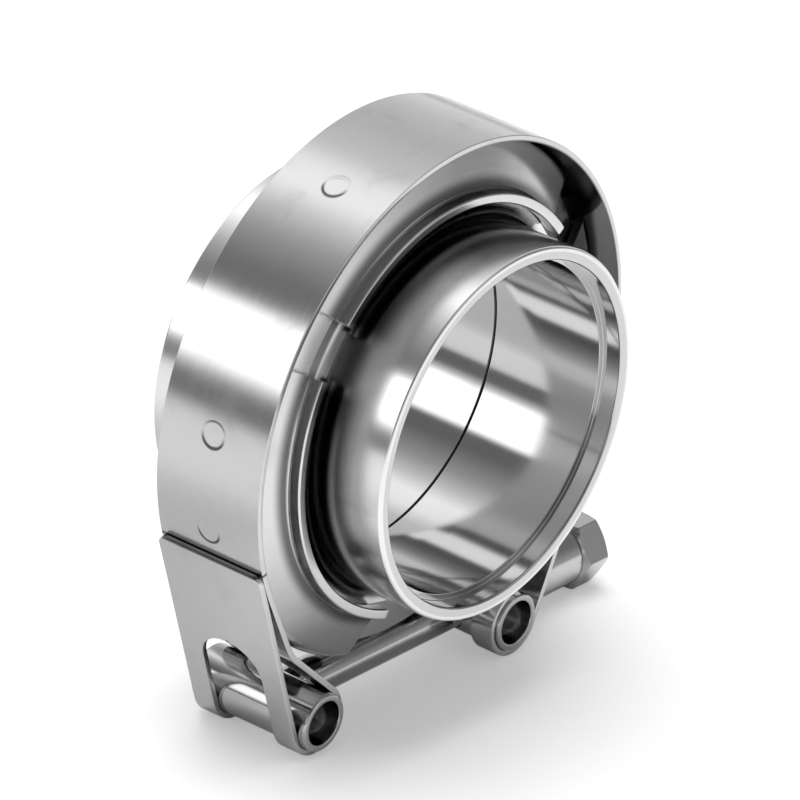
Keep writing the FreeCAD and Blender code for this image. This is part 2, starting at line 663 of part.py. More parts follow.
def make_nut():
    body = new_body("hex_nut")
    hexagon = new_sketch(body, "HexagonProfile", "YZ_Plane", offset=nut_start)
    corner = S["nut_across_flats"] / 2 / cos(Size(30, "30"))
    turns = [Size(60 * step, str(60 * step)) for step in range(6)]
    draw_polygon(hexagon, [(corner * cos(turn), corner * sin(turn) - eye_drop) for turn in turns])
    pad(body, hexagon, "Hexagon", S["nut_height"])
    # Chamfer that takes the hexagon's corners off at both ends, drawn to clear corners and faces
    crown = new_sketch(body, "CrownProfile", "XZ_Plane")
    crown_radius = S["nut_across_flats"] / 2 - S["nut_crown_inset"]
    clear_of_corner = corner * 1.1
    clear_of_face = S["nut_height"] / 4
    fall = (clear_of_corner - crown_radius) * tan(S["nut_crown_angle"])
    for face, outside, inside in ((nut_start, nut_start - clear_of_face, nut_start + fall),
                                  (nut_end, nut_end + clear_of_face, nut_end - fall)):
        draw_polygon(crown, [
            (outside, crown_radius - eye_drop),
            (face, crown_radius - eye_drop),
            (inside, clear_of_corner - eye_drop),
            (outside, clear_of_corner - eye_drop),
        ])
    centre_line = Part.LineSegment(vec(nut_start.value, -eye_drop.value), vec(nut_end.value, -eye_drop.value))
    axis = crown.addGeometry(centre_line, True)
    place_point(crown, axis, 1, nut_start, -eye_drop)
    place_point(crown, axis, 2, nut_end, -eye_drop)
    revolve(body, crown, "Crown", 360, axis="Axis0", cut=True)
    bore = new_sketch(body, "ThreadBoreProfile", "YZ_Plane", offset=nut_start)
    thread = S["shank_radius"] + S["nut_thread_clearance"]
    draw_circle(bore, 0, -eye_drop, thread)
    pocket(body, bore, "ThreadBore", S["nut_height"], against=True)
    centre = FreeCAD.Vector(0, 0, -eye_drop.value)
    mouths = round_edges(body.Shape, ALONG_X, centre, [(nut_start, thread), (nut_end, thread)])
    chamfer(body, "BoreMouths", mouths, S["nut_mouth"])
    return body


PIECES = [
    make_band(),
    make_segment("v_segment_top", Size(0, "0")),
    make_segment("v_segment_left", -S["side_segment_angle"]),
    make_segment("v_segment_right", S["side_segment_angle"]),
    make_flange("flange_front", -1, True),
    make_flange("flange_rear", 1, False),
    make_t_bolt(),
    make_trunnion(),
    make_sleeve(),
    make_nut(),
]
doc.recompute()

for item in doc.Objects:
    if "Invalid" in item.State or "Error" in item.State:
        raise RuntimeError("%s failed: %s" % (item.Name, item.State))
os.makedirs("parts", exist_ok=True)
for piece in PIECES:
    shape = piece.Shape
    if shape.isNull() or not shape.isValid() or len(shape.Solids) != 1:
        raise RuntimeError("%s is not one valid solid" % piece.Label)
    box = shape.BoundBox
    print("%-16s solids %d volume %9.2f box %s" % (
        piece.Label, len(shape.Solids), shape.Volume,
        " ".join("%.2f" % number for number in (box.XMin, box.XMax, box.YMin, box.YMax, box.ZMin, box.ZMax))))
    shape.exportStep("parts/%s.step" % piece.Label)
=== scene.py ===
import logging
from collections.abc import Sequence
from dataclasses import dataclass, field, replace
from enum import Enum
from math import acos, atan2, ceil, copysign, cos, degrees, pi, radians, sin, sqrt, tan

import bmesh
import bpy
from bpy.types import Material, Node, NodeSocket, NodeTree, Object
from mathutils import Matrix, Quaternion, Vector


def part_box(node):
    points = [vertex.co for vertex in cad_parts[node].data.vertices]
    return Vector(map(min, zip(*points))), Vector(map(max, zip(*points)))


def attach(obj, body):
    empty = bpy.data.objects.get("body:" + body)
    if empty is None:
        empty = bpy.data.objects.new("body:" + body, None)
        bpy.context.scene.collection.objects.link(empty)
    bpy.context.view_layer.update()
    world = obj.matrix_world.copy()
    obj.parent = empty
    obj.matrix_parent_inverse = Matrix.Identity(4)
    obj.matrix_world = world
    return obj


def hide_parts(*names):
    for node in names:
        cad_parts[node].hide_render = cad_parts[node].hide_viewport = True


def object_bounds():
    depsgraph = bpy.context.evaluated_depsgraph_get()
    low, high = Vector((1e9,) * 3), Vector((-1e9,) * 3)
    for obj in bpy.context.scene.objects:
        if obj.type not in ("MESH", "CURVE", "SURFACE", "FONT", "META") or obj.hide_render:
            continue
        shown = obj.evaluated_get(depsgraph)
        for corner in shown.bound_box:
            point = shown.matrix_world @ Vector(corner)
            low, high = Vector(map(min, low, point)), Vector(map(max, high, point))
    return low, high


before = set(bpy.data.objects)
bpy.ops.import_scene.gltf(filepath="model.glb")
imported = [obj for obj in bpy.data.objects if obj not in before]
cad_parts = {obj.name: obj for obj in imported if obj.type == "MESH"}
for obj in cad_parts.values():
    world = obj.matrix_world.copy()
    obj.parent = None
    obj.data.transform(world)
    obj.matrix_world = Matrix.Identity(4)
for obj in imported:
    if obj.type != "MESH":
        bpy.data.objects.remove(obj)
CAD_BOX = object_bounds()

# V band clamp closed on its two flanges. Metres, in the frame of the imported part: the pipe's axis
# along Y with the front flange at -Y, Z up, X along the T-bolt towards the nut. Angles round the
# ring count clockwise from the top, seen from the front.
LOG = logging.getLogger("v_band_clamp")
MM = 0.001
FULL_TURN = 2 * pi
DOUBLES = 0.0005 * MM

Colour = tuple[float, float, float, float]
Span = tuple[float, float]
Step = tuple[float, float, float, float]  # low, high, start and end of a smooth step
Path = list[tuple[Vector, Vector]]  # places along the strap, each with its normal


class Lay(Enum):
    """Which way the fine lines of a finish run."""

    ALONG_STRIP = "along the strip, so square to the pipe"
    ROUND_PIPE = "round the pipe's axis"
    ROUND_BOLT = "round the bolt's axis"


class Side(Enum):
    """The two flanges, by the way each one faces from the joint."""

    FRONT = -1
    REAR = 1


# Nodes written as expressions
class Value:
    """What one socket carries: Python operators on it add Math nodes."""

    def __init__(self, graph: "Graph", output: NodeSocket) -> None:
        """Keep the socket, and the graph it belongs to."""
        self.graph = graph
        self.output = output

    def math(self, operation: str, *others: "Value | float") -> "Value":
        """Number that a Math node makes of this one and any others."""
        return self.graph.math(operation, self, *others)

    def __add__(self, other: "Value | float") -> "Value":
        """Sum, in either order."""
        return self.math("ADD", other)

    def __mul__(self, other: "Value | float") -> "Value":
        """Product, in either order."""
        return self.math("MULTIPLY", other)

    __radd__ = __add__
    __rmul__ = __mul__

    def __sub__(self, other: "Value | float") -> "Value":
        """Difference."""
        return self.math("SUBTRACT", other)

    def __rsub__(self, other: float) -> "Value":
        """Difference from a plain number."""
        return self.graph.math("SUBTRACT", other, self)

    def __truediv__(self, other: "Value | float") -> "Value":
        """Quotient."""
        return self.math("DIVIDE", other)

    def __abs__(self) -> "Value":
        """Absolute value."""
        return self.math("ABSOLUTE")

    def within(self, low: "Value | float", high: "Value | float") -> "Value":
        """The number, kept between two limits."""
        return self.math("MAXIMUM", low).math("MINIMUM", high)

    def ramp(self, low: float, high: float, start: float = 0.0, end: float = 1.0) -> "Value":
        """Smooth step from start to end while this number goes from low to high."""
        return self.graph.value("ShaderNodeMapRange", {0: self, 1: low, 2: high, 3: start, 4: end},
                                interpolation_type="SMOOTHSTEP")

    def towards(self, share: "Value", colour: "Value | Colour") -> "Value":
        """Colour a share of the way from this one to another."""
        return self.graph.mix(share, self, colour)


class Graph:
    """Fills one node tree."""

    def __init__(self, tree: NodeTree) -> None:
        """Start from an empty tree."""
        self.tree = tree
        tree.nodes.clear()

    def node(self, kind: str, sockets: dict[str | int, object] | None = None, **settings: object) -> Node:
        """Add one node.

        Args:
            kind: the node's type.
            sockets: inputs by name or number, each a Value to link or a plain value to set.
            settings: its properties, set first; stops are those of its colour ramp.

        Returns:
            The node.
        """
        node = self.tree.nodes.new(kind)
        for name, setting in settings.items():
            if name == "stops":
                self._set_stops(node.color_ramp, setting)
            else:
                setattr(node, name, setting)
        for key, item in (sockets or {}).items():
            if isinstance(item, Value):
                self.tree.links.new(item.output, node.inputs[key])
            else:
                node.inputs[key].default_value = item
        return node

    def value(self, kind: str, sockets: dict[str | int, object] | None = None, output: str | int = 0,
              **settings: object) -> Value:
        """Add one node and return one of its outputs."""
        return Value(self, self.node(kind, sockets, **settings).outputs[output])

    def math(self, operation: str, *operands: Value | float) -> Value:
        """Number that a Math node makes of its operands."""
        return self.value("ShaderNodeMath", dict(enumerate(operands)), operation=operation)

    def mix(self, share: Value, first: object, second: object) -> Value:
        """Colour between two colours."""
        return self.value("ShaderNodeMix", {0: share, 6: first, 7: second}, 2, data_type="RGBA")

    def noise(self, place: Value, size: float, detail: float, roughness: float) -> Value:
        """Smooth noise about 0.5 with spots of the given size."""
        return self.value("ShaderNodeTexNoise", {
            "Vector": place, "Scale": 1 / size, "Detail": detail, "Roughness": roughness})

    def xyz(self, x: Value | float, y: Value | float, z: Value | float) -> Value:
        """Vector from three numbers."""
        return self.value("ShaderNodeCombineXYZ", {0: x, 1: y, 2: z})

    def split(self, vector: Value) -> tuple[Value, Value, Value]:
        """Three numbers of a vector."""
        node = self.node("ShaderNodeSeparateXYZ", {0: vector})
        return tuple(Value(self, output) for output in node.outputs)

    @staticmethod
    def _set_stops(ramp: bpy.types.ColorRamp, stops: Sequence[Span]) -> None:
        """Give a colour ramp its stops.

        Args:
            ramp: the ramp.
            stops: places and grey levels.
        """
        while len(ramp.elements) < len(stops):
            ramp.elements.new(0.5)
        for element, (place, level) in zip(ramp.elements, stops):
            element.position = place
            element.color = tone(level)


def tone(level: float, blue: float = 0.0) -> Colour:
    """Grey colour, with a little more blue where asked."""
    return level, level, level + blue, 1.0


# Sizes that several pieces share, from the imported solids
def centre_of(node: str) -> Vector:
    """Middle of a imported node's box."""
    low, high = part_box(node)
    return (low + high) / 2


def reach_of(node: str) -> Vector:
    """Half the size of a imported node's box."""
    low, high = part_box(node)
    return (high - low) / 2


RING_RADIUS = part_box("band")[1].z
STRAP_THICKNESS = 0.9 * MM
STUB_RADIUS = 27.5 * MM
EYE = centre_of("trunnion")
FLOOR_LEVEL = CAD_BOX[0].z


# Finishes
@dataclass(frozen=True)
class Spot:
    """Place on a piece by its object coordinates, as a finish sees it."""

    x: Value
    y: Value
    z: Value

    @property
    def radius(self) -> Value:
        """Distance from the pipe's axis."""
        return (self.x * self.x + self.z * self.z).math("SQRT")

    @property
    def turn(self) -> Value:
        """Angle from the top of the ring, the same to either side, in degrees."""
        return abs(self.x.math("ARCTAN2", self.z)) * degrees(1)


def new_material(name: str) -> tuple[Material, Graph]:
    """Make a material with an empty graph.

    Args:
        name: name of the material.

    Returns:
        The material and its graph.
    """
    material = bpy.data.materials.new(name)
    material.use_nodes = True
    return material, Graph(material.node_tree)


@dataclass(frozen=True)
class Steel:
    """Stainless steel with fine lines from rolling, brushing or turning.

    Attributes:
        name: name of the material.
        slot: slot of the record that it is meant for; not used.
        lay: which way its lines run.
        grey: reflectance of the clean metal.
        stain: reflectance where it is duller.
        stain_share: how much of the surface is duller, from 0 to 1.
        roughness: middle roughness.
        roughness_spread: how far the lines and the mottle move it.
        line_pitch: spacing of the lines.
        line_length: length of one line.
        line_depth: depth of the lines for the bump.
        ripple_depth: depth of the broad unevenness that bends reflections.
        ripple_size: size of that unevenness.
        mottle_size: size of the duller patches.
    """

    name: str
    slot: str
    lay: Lay
    grey: float
    stain: float
    stain_share: float
    roughness: float
    roughness_spread: float
    line_pitch: float
    line_length: float
    line_depth: float = 0.0014 * MM
    ripple_depth: float = 0.01 * MM
    ripple_size: float = 11 * MM
    mottle_size: float = 7 * MM

    def line_coordinates(self, spot: Spot) -> Value:
        """Coordinates in which the fine lines are drawn out along the lay.

        Args:
            spot: place on the piece.

        Returns:
            Coordinates for the noise of the lines.
        """
        fine, slow = 1 / self.line_pitch, 1 / self.line_length
        x, y, z = spot.x, spot.y, spot.z
        if self.lay is Lay.ALONG_STRIP:
            return x.graph.xyz(x * slow, y * fine, z * slow)
        if self.lay is Lay.ROUND_PIPE:
            across, down, along, reach = x, z, y, STUB_RADIUS * slow
        else:
            across, down, along, reach = y, z - EYE.z, x, reach_of("sleeve").z * slow
        radius = (across * across + down * down).math("SQRT").math("MAXIMUM", 0.01 * MM)
        return x.graph.xyz(across / radius * reach, (along + radius) * fine, down / radius * reach)

    def height(self, height: Value, spot: Spot) -> Value:
        """Height that the bump follows; a finish with marks of its own adds them here."""
        return height

    def colour(self, colour: Value, spot: Spot) -> Value:
        """Colour; a finish with marks or painted shade of its own adds them here."""
        return colour

    def dulled(self, roughness: Value, spot: Spot) -> Value:
        """Roughness; a finish that differs from place to place changes it here."""
        return roughness

    def make(self) -> Material:
        """Build the material.

        Returns:
            The material, its shader fed by the lines, the mottle and the finish's own marks.
        """
        material, graph = new_material(self.name)
        place = graph.value("ShaderNodeTexCoord", output="Object")
        spot = Spot(*graph.split(place))
        lines = graph.noise(self.line_coordinates(spot), 1.0, 3.0, 0.6)
        mottle = graph.noise(place, self.mottle_size, 4.0, 0.55)
        ripple = graph.noise(place, self.ripple_size, 1.0, 0.4)
        first_stain = 0.62 - 0.3 * self.stain_share
        stained = mottle.ramp(first_stain, first_stain + 0.33)
        blue = 0.005 * self.grey
        clean = graph.mix(lines, tone(0.94 * self.grey, blue), tone(1.05 * self.grey, blue))
        roughness = self.roughness + (lines - 0.5 + stained) * self.roughness_spread
        height = lines * self.line_depth + ripple * self.ripple_depth
        bump = graph.value("ShaderNodeBump", {
            "Strength": 1.0, "Distance": 1.0, "Height": self.height(height, spot)})
        shader = graph.value("ShaderNodeBsdfPrincipled", {
            "Metallic": 1.0, "Base Color": self.colour(clean.towards(stained, tone(self.stain)), spot),
            "Roughness": self.dulled(roughness, spot).math("MAXIMUM", 0.04), "Normal": bump})
        graph.node("ShaderNodeOutputMaterial", {"Surface": shader})
        return material


@dataclass(frozen=True)
class StrapSteel(Steel):
    """Finish of the strap, with the marks of its spot welds, painted shade below each mark, at each folded ply's
    end and on its inside.

    Attributes:
        top_weld_angle: marks over the top segment, from the top, degrees.
        side_weld_angle: middle mark over each side segment, from the top, degrees.
        side_weld_step: from that mark to its neighbours, degrees.
        weld_radius: radius of a mark.
        weld_depth: depth of its rim.
        dimple: edge of the dimple, in radii of the mark, as the next four.
        rim: outer slope of the rim.
        weld_shade_inside: inner edge of the crescent of painted shade below each mark.
        weld_shade_outside: outer edge of that crescent.
        weld_shade_below: how the crescent of painted shade darkens down the strap.
        rim_fall: share of the rim's height that its outer slope falls.
        off_ring: how much faster a mark fades off the ring than across it.
        seam_angle: end of the folded ply, from the top, degrees.
        seam: line of painted shade there, by degrees from that end.
        inside: shade of the strap's inside, by height over its inner face.
        inside_right: where that shade begins, by x.
    """

    top_weld_angle: float = 25.75
    side_weld_angle: float = 104.0
    side_weld_step: float = 21.5
    weld_radius: float = 1.9 * MM
    weld_depth: float = 0.05 * MM
    dimple: Span = (0.72, 0.95)
    rim: Span = (0.98, 1.2)
    weld_shade_inside: Span = (0.8, 0.93)
    weld_shade_outside: Span = (1.0, 1.15)
    weld_shade_below: Step = (-0.3, 0.6, 0.05, 0.95)
    rim_fall: float = 0.45
    off_ring: float = 20.0
    seam_angle: float = 109.9
    seam: Step = (0.18, 0.45, 0.85, 0.0)
    inside: Step = (0.1 * MM, 0.3 * MM, 0.8, 0.0)
    inside_right: Span = (-10 * MM, 10 * MM)

    def weld_offset(self, spot: Spot) -> tuple[Value, Value]:
        """Offset from the nearest weld, in radii of the mark.

        Args:
            spot: place on the strap.

        Returns:
            How far down the strap from the weld's centre, and how far from it in all.
        """
        turn = spot.turn
        step = ((turn - self.side_weld_angle) / self.side_weld_step).math("ROUND")
        side = step.within(-1.0, 1.0) * self.side_weld_step + self.side_weld_angle
        over_top = turn.math("LESS_THAN", 2 * self.top_weld_angle)
        down = turn - side - over_top * (self.top_weld_angle - side)
        down = down * radians(RING_RADIUS / self.weld_radius)
        across = spot.y / self.weld_radius
        off_ring = (spot.radius - RING_RADIUS).math("MAXIMUM", 0.0) * (self.off_ring / self.weld_radius)
        return down, (down * down + across * across).math("SQRT") + off_ring

    def height(self, height: Value, spot: Spot) -> Value:
        """Height with a dimple in a raised rim at each weld."""
        distance = self.weld_offset(spot)[1]
        return height + self.weld_depth * (
            distance.ramp(*self.dimple) - distance.ramp(*self.rim) * self.rim_fall)

    def colour(self, colour: Value, spot: Spot) -> Value:
        """Colour with a crescent of painted shade below each weld, painted shade at each folded ply's end and
        painted shade on the inside's right part.

        Args:
            colour: colour of the metal.
            spot: place on the strap.

        Returns:
            The marked colour.
        """
        down, distance = self.weld_offset(spot)
        # Painted shade: each weld's ring is darkened only on its lower side, below the dimple.
        ring = distance.ramp(*self.weld_shade_inside) - distance.ramp(*self.weld_shade_outside)
        marked = colour.towards(ring * down.ramp(*self.weld_shade_below), tone(0.05))
        # Painted shade: a dark band across each folded ply's end and the ring beside it.
        seam = abs(spot.turn - self.seam_angle).ramp(*self.seam)
        # Painted shade over the ring's inner face, on its right half only.
        over_inside = spot.radius - (RING_RADIUS - STRAP_THICKNESS)
        shaded = over_inside.ramp(*self.inside) * spot.x.ramp(*self.inside_right)
        return marked.towards(seam.math("MAXIMUM", shaded), tone(0.03))


@dataclass(frozen=True)
class ChannelSteel(Steel):
    """Finish of the V-segments, with painted shade inside the channel, under its feet and where legs turn into
    feet.

    Attributes:
        slope: tangent of the leg's angle.
        inner: shade of the leg's inner face, by distance from the joint plus slope times radius.
        under: shade of the feet's underside, by radius.
        reach: how far from the joint that underside is dark.
        corner_start: start of the shade in the outer corner, by radius.
        corner_end: its end up the leg.
    """

    slope: float = tan(radians(20))
    inner: Step = (17.25 * MM, 17.45 * MM, 1.0, 0.0)
    under: Step = (29.95 * MM, 30.0 * MM, 1.0, 0.0)
    reach: Step = (9.0 * MM, 9.15 * MM, 1.0, 0.0)
    corner_start: Span = (31.45 * MM, 31.75 * MM)
    corner_end: Step = (32.05 * MM, 33.85 * MM, 0.9, 0.0)

    def colour(self, colour: Value, spot: Spot) -> Value:
        """Colour with painted shade inside the channel, under its feet and in its outer corners.

        Args:
            colour: colour of the metal.
            spot: place on the segment.

        Returns:
            The shaded colour.
        """
        radius, off_joint = spot.radius, abs(spot.y)
        inner = (off_joint + radius * self.slope).ramp(*self.inner)
        under = radius.ramp(*self.under) * off_joint.ramp(*self.reach)
        corner = radius.ramp(*self.corner_start) * radius.ramp(*self.corner_end)
        # Painted shade where the channel's own walls shade it.
        shade = inner.math("MAXIMUM", under).math("MAXIMUM", corner)
        return colour.towards(shade * 0.9, tone(0.02))


@dataclass(frozen=True)
class TurnedSteel(Steel):
    """Finish of the flanges: clear in the bore, duller outside and lighter there as painted light, with painted
    shade in the groove by the channel.

    Attributes:
        bore: share of the bore's finish, by radius.
        outside_roughness: roughness added outside.
        outside_share: how far the colour goes towards a lighter grey outside, as painted light.
        lip: shade up to where the lip comes out of the groove, by radius.
        groove: shade from the groove's floor to its mouth, by distance from the joint.
        opening: middle of the opening between two segments, from the top, degrees.
        covered: share of the shade, by degrees from the middle of that opening.
        seam: place of the joint's line in the bore.
        seam_line: that dark line, by distance from its place.
    """

    bore: Step = (26.7 * MM, 26.9 * MM, 1.0, 0.0)
    outside_roughness: float = 0.09
    outside_share: float = 0.6
    lip: Step = (28.0 * MM, 30.0 * MM, 1.0, 0.0)
    groove: Step = (10.0 * MM, 15.5 * MM, 0.95, 0.0)
    opening: float = 57.25
    covered: Step = (5.425, 11.625, 0.2, 1.0)
    seam: float = 1.46 * MM
    seam_line: Step = (0.15 * MM, 0.3 * MM, 0.9, 0.0)

    def dulled(self, roughness: Value, spot: Spot) -> Value:
        """Roughness with the duller outside."""
        return roughness + (1 - spot.radius.ramp(*self.bore)) * self.outside_roughness

    def colour(self, colour: Value, spot: Spot) -> Value:
        """Colour lighter outside as painted light, with painted shade in the groove and the joint's line in the
        bore.

        Args:
            colour: colour of the metal.
            spot: place on the flange.

        Returns:
            The shaded colour.
        """
        inside = spot.radius.ramp(*self.bore)
        # Painted shade in the groove under the channel, weaker in the openings between segments.
        covered = abs(spot.turn - self.opening).ramp(*self.covered)
        groove = (1 - inside) * spot.radius.ramp(*self.lip) * covered
        shade = groove * abs(spot.y).ramp(*self.groove).math("POWER", 0.7)
        seam = inside * abs(spot.y - self.seam).ramp(*self.seam_line)
        # Painted light: the whole outside is lightened towards pale grey to lift its reflections.
        brightened = colour.towards((1 - inside) * self.outside_share, tone(0.88, 0.005))
        return brightened.towards(shade.math("MAXIMUM", seam), tone(0.015))


STRAP_STEEL = StrapSteel("strap_brushed", "strap", Lay.ALONG_STRIP, grey=0.58, stain=0.48, stain_share=0.3,
                         roughness=0.17, roughness_spread=0.06, line_pitch=0.16 * MM, line_length=9 * MM)
SEGMENT_STEEL = ChannelSteel("segment_rolled", "segments", Lay.ROUND_PIPE, grey=0.62, stain=0.5,
                             stain_share=0.25, roughness=0.18, roughness_spread=0.06,
                             line_pitch=0.2 * MM, line_length=12 * MM)
FLANGE_STEEL = TurnedSteel("flange_turned", "flanges", Lay.ROUND_PIPE, grey=0.55, stain=0.48,
                           stain_share=0.2, roughness=0.09, roughness_spread=0.04, line_pitch=0.14 * MM,
                           line_length=40 * MM, line_depth=0.0008 * MM, ripple_depth=0.005 * MM)
BOLT_STEEL = Steel("bolt_drawn", "bolt", Lay.ROUND_BOLT, grey=0.46, stain=0.34, stain_share=0.3,
                   roughness=0.15, roughness_spread=0.08, line_pitch=0.2 * MM, line_length=4 * MM,
                   line_depth=0.001 * MM, ripple_depth=0.006 * MM)
NUT_STEEL = Steel("nut_satin", "nut", Lay.ROUND_BOLT, grey=0.54, stain=0.42, stain_share=0.3,
                  roughness=0.2, roughness_spread=0.08, line_pitch=0.18 * MM, line_length=5 * MM)


# Outlines and the trees that turn them
@dataclass(frozen=True)
class Corner:
    """Corner of a turned outline.

    Attributes:
        along: place along the axis.
        radius: distance from the axis.
        bend: radius of the arc that rounds the corner.
    """

    along: float
    radius: float
    bend: float = 0.0

    def point(self) -> Vector:
        """The sharp corner as a point."""
        return Vector((self.along, self.radius))


def rounded_outline(corners: Sequence[Corner], step: float = radians(15)) -> list[Vector]:
    """Closed outline whose corners turn through arcs.

    Args:
        corners: the outline's corners in order.
        step: largest turn between two points of an arc.

    Returns:
        The outline's points.
    """
    points = []
    for index, corner in enumerate(corners):
        spot = corner.point()
        if not corner.bend:
            points.append(spot)
            continue
        back = (corners[index - 1].point() - spot).normalized()
        ahead = (corners[(index + 1) % len(corners)].point() - spot).normalized()
        half = back.angle(ahead) / 2
        centre = spot + (back + ahead).normalized() * (corner.bend / sin(half))
        arm = spot + back * (corner.bend / tan(half)) - centre
        sweep = copysign(pi - 2 * half, -back.cross(ahead))
        count = max(2, ceil(abs(sweep) / step))
        points += [centre + Matrix.Rotation(sweep * number / count, 2) @ arm for number in range(count + 1)]
    return points


class GeometryTool:
    """Geometry tree with named inputs, run on a wire of points and baked to a plain mesh."""

    title = ""
    inputs: dict[str, str] = {}

    def __init__(self) -> None:
        """Build the tree with its inputs and output."""
        self.tree = bpy.data.node_groups.new(self.title, "GeometryNodeTree")
        self.graph = Graph(self.tree)
        new_socket = self.tree.interface.new_socket
        self.identifiers = {
            name: new_socket(name=name, in_out="INPUT", socket_type="NodeSocket" + kind).identifier
            for name, kind in {"Geometry": "Geometry", **self.inputs, "Material": "Material"}.items()}
        new_socket(name="Geometry", in_out="OUTPUT", socket_type="NodeSocketGeometry")
        self.source = self.graph.node("NodeGroupInput")
        made = self.graph.value("GeometryNodeRealizeInstances", {"Geometry": self.build()})
        smooth = self.graph.value("GeometryNodeSetShadeSmooth", {"Geometry": made})
        dressed = self.graph.value("GeometryNodeSetMaterial", {
            "Geometry": smooth, "Material": self.given("Material")})
        self.graph.node("NodeGroupOutput", {"Geometry": dressed})

    def given(self, name: str) -> Value:
        """One of the tree's inputs."""
        return Value(self.graph, self.source.outputs[name])

    def build(self) -> Value:
        """Geometry that the tree makes; each tool has its own."""
        raise NotImplementedError

    def wire_size(self) -> Value:
        """Number of points on the tool's wire."""
        return self.graph.value("GeometryNodeAttributeDomainSize", {"Geometry": self.given("Geometry")})

    def grid(self, rows: Value | int, columns: Value | int) -> tuple[Value, Value, Value]:
        """Grid of points to be placed by rule.

        Args:
            rows: number of its rows.
            columns: number of its columns.

        Returns:
            The grid, with each point's row and column.
        """
        grid = self.graph.value("GeometryNodeMeshGrid", {"Vertices X": rows, "Vertices Y": columns})
        index = self.graph.value("GeometryNodeInputIndex")
        row = ((index + 0.5) / columns).math("FLOOR")
        return grid, row, index - row * columns

    def sample(self, index: Value) -> tuple[Value, Value, Value]:
        """Coordinates of the point with that index on the tool's wire."""
        return self.graph.split(self.graph.value("GeometryNodeSampleIndex", {
            "Geometry": self.given("Geometry"), "Value": self.graph.value("GeometryNodeInputPosition"),
            "Index": index}, data_type="FLOAT_VECTOR"))

    def placed(self, geometry: Value, x: Value | float, y: Value | float, z: Value | float) -> Value:
        """Geometry with its points moved to the given place."""
        return self.graph.value("GeometryNodeSetPosition", {
            "Geometry": geometry, "Position": self.graph.xyz(x, y, z)})

    def joined(self, parts: Sequence[Value]) -> Value:
        """Several geometries as one, welded where their points meet.

        Args:
            parts: the geometries.

        Returns:
            The welded geometry.
        """
        join = self.graph.node("GeometryNodeJoinGeometry")
        for part in parts:
            self.tree.links.new(part.output, join.inputs[0])
        return self.graph.value("GeometryNodeMergeByDistance", {
            "Geometry": Value(self.graph, join.outputs[0]), "Distance": 2 * DOUBLES})

    def run(self, name: str, wire: Sequence[Vector], material: Material, closed: bool = True,
            **settings: float) -> Object:
        """Run the tree on a wire.

        Args:
            name: name of the new object.
            wire: points of the wire, in its own plane.
            material: material of the result.
            closed: whether the wire closes on itself.
            settings: the tree's other inputs by name, with _ for a space.

        Returns:
            Object with a plain mesh and no modifier.
        """
        mesh = bpy.data.meshes.new(name)
        edges = [(index, index + 1) for index in range(len(wire) - 1)]
        if closed:
            edges.append((len(wire) - 1, 0))
        mesh.from_pydata([(point.x, point.y, 0.0) for point in wire], edges, [])
        made = add_object(name, mesh)
        modifier = made.modifiers.new(self.title, "NODES")
        modifier.node_group = self.tree
        for key, setting in settings.items():
            modifier[self.identifiers[key.replace("_", " ")]] = setting
        modifier[self.identifiers["Material"]] = material
        bake(made)
        face_outwards(made)
        return made


class TurnedOutline(GeometryTool):
    """Turns an outline about the Y axis, all the way round or through part of a turn with closed ends."""

    title = "TurnedOutline"
    inputs = {"Start": "Float", "Sweep": "Float", "Steps": "Int", "Closed Ends": "Bool"}

    def build(self) -> Value:
        """Skin swept through the turn, with the outline filled at both ends where asked.

        Returns:
            The skin and its ends as one geometry.
        """
        start, sweep, steps = self.given("Start"), self.given("Sweep"), self.given("Steps")
        count = self.wire_size()
        grid, row, column = self.grid(count + 1, steps + 1)
        along, radius, _ = self.sample(row.math("MODULO", count))
        turn = start + sweep * column / steps
        skin = self.placed(grid, radius * turn.math("SINE"), along, radius * turn.math("COSINE"))
        outline = self.graph.value("GeometryNodeMeshToCurve", {"Mesh": self.given("Geometry")})
        filled = self.graph.value("GeometryNodeFillCurve", {"Curve": outline})
        x, y, _ = self.graph.split(self.graph.value("GeometryNodeInputPosition"))
        ends = [self.placed(filled, y * turn.math("SINE"), x, y * turn.math("COSINE"))
                for turn in (start, start + sweep)]
        capped = self.graph.value("GeometryNodeSwitch", {
            "Switch": self.given("Closed Ends"), "True": self.joined(ends)}, input_type="GEOMETRY")
        return self.joined([skin, capped])

    def full_turn(self, name: str, corners: Sequence[Corner], steps: int, material: Material) -> Object:
        """Turn a section with rounded corners all the way round."""
        return self.run(name, rounded_outline(corners), material,
                        Start=0.0, Sweep=FULL_TURN, Steps=steps, Closed_Ends=False)


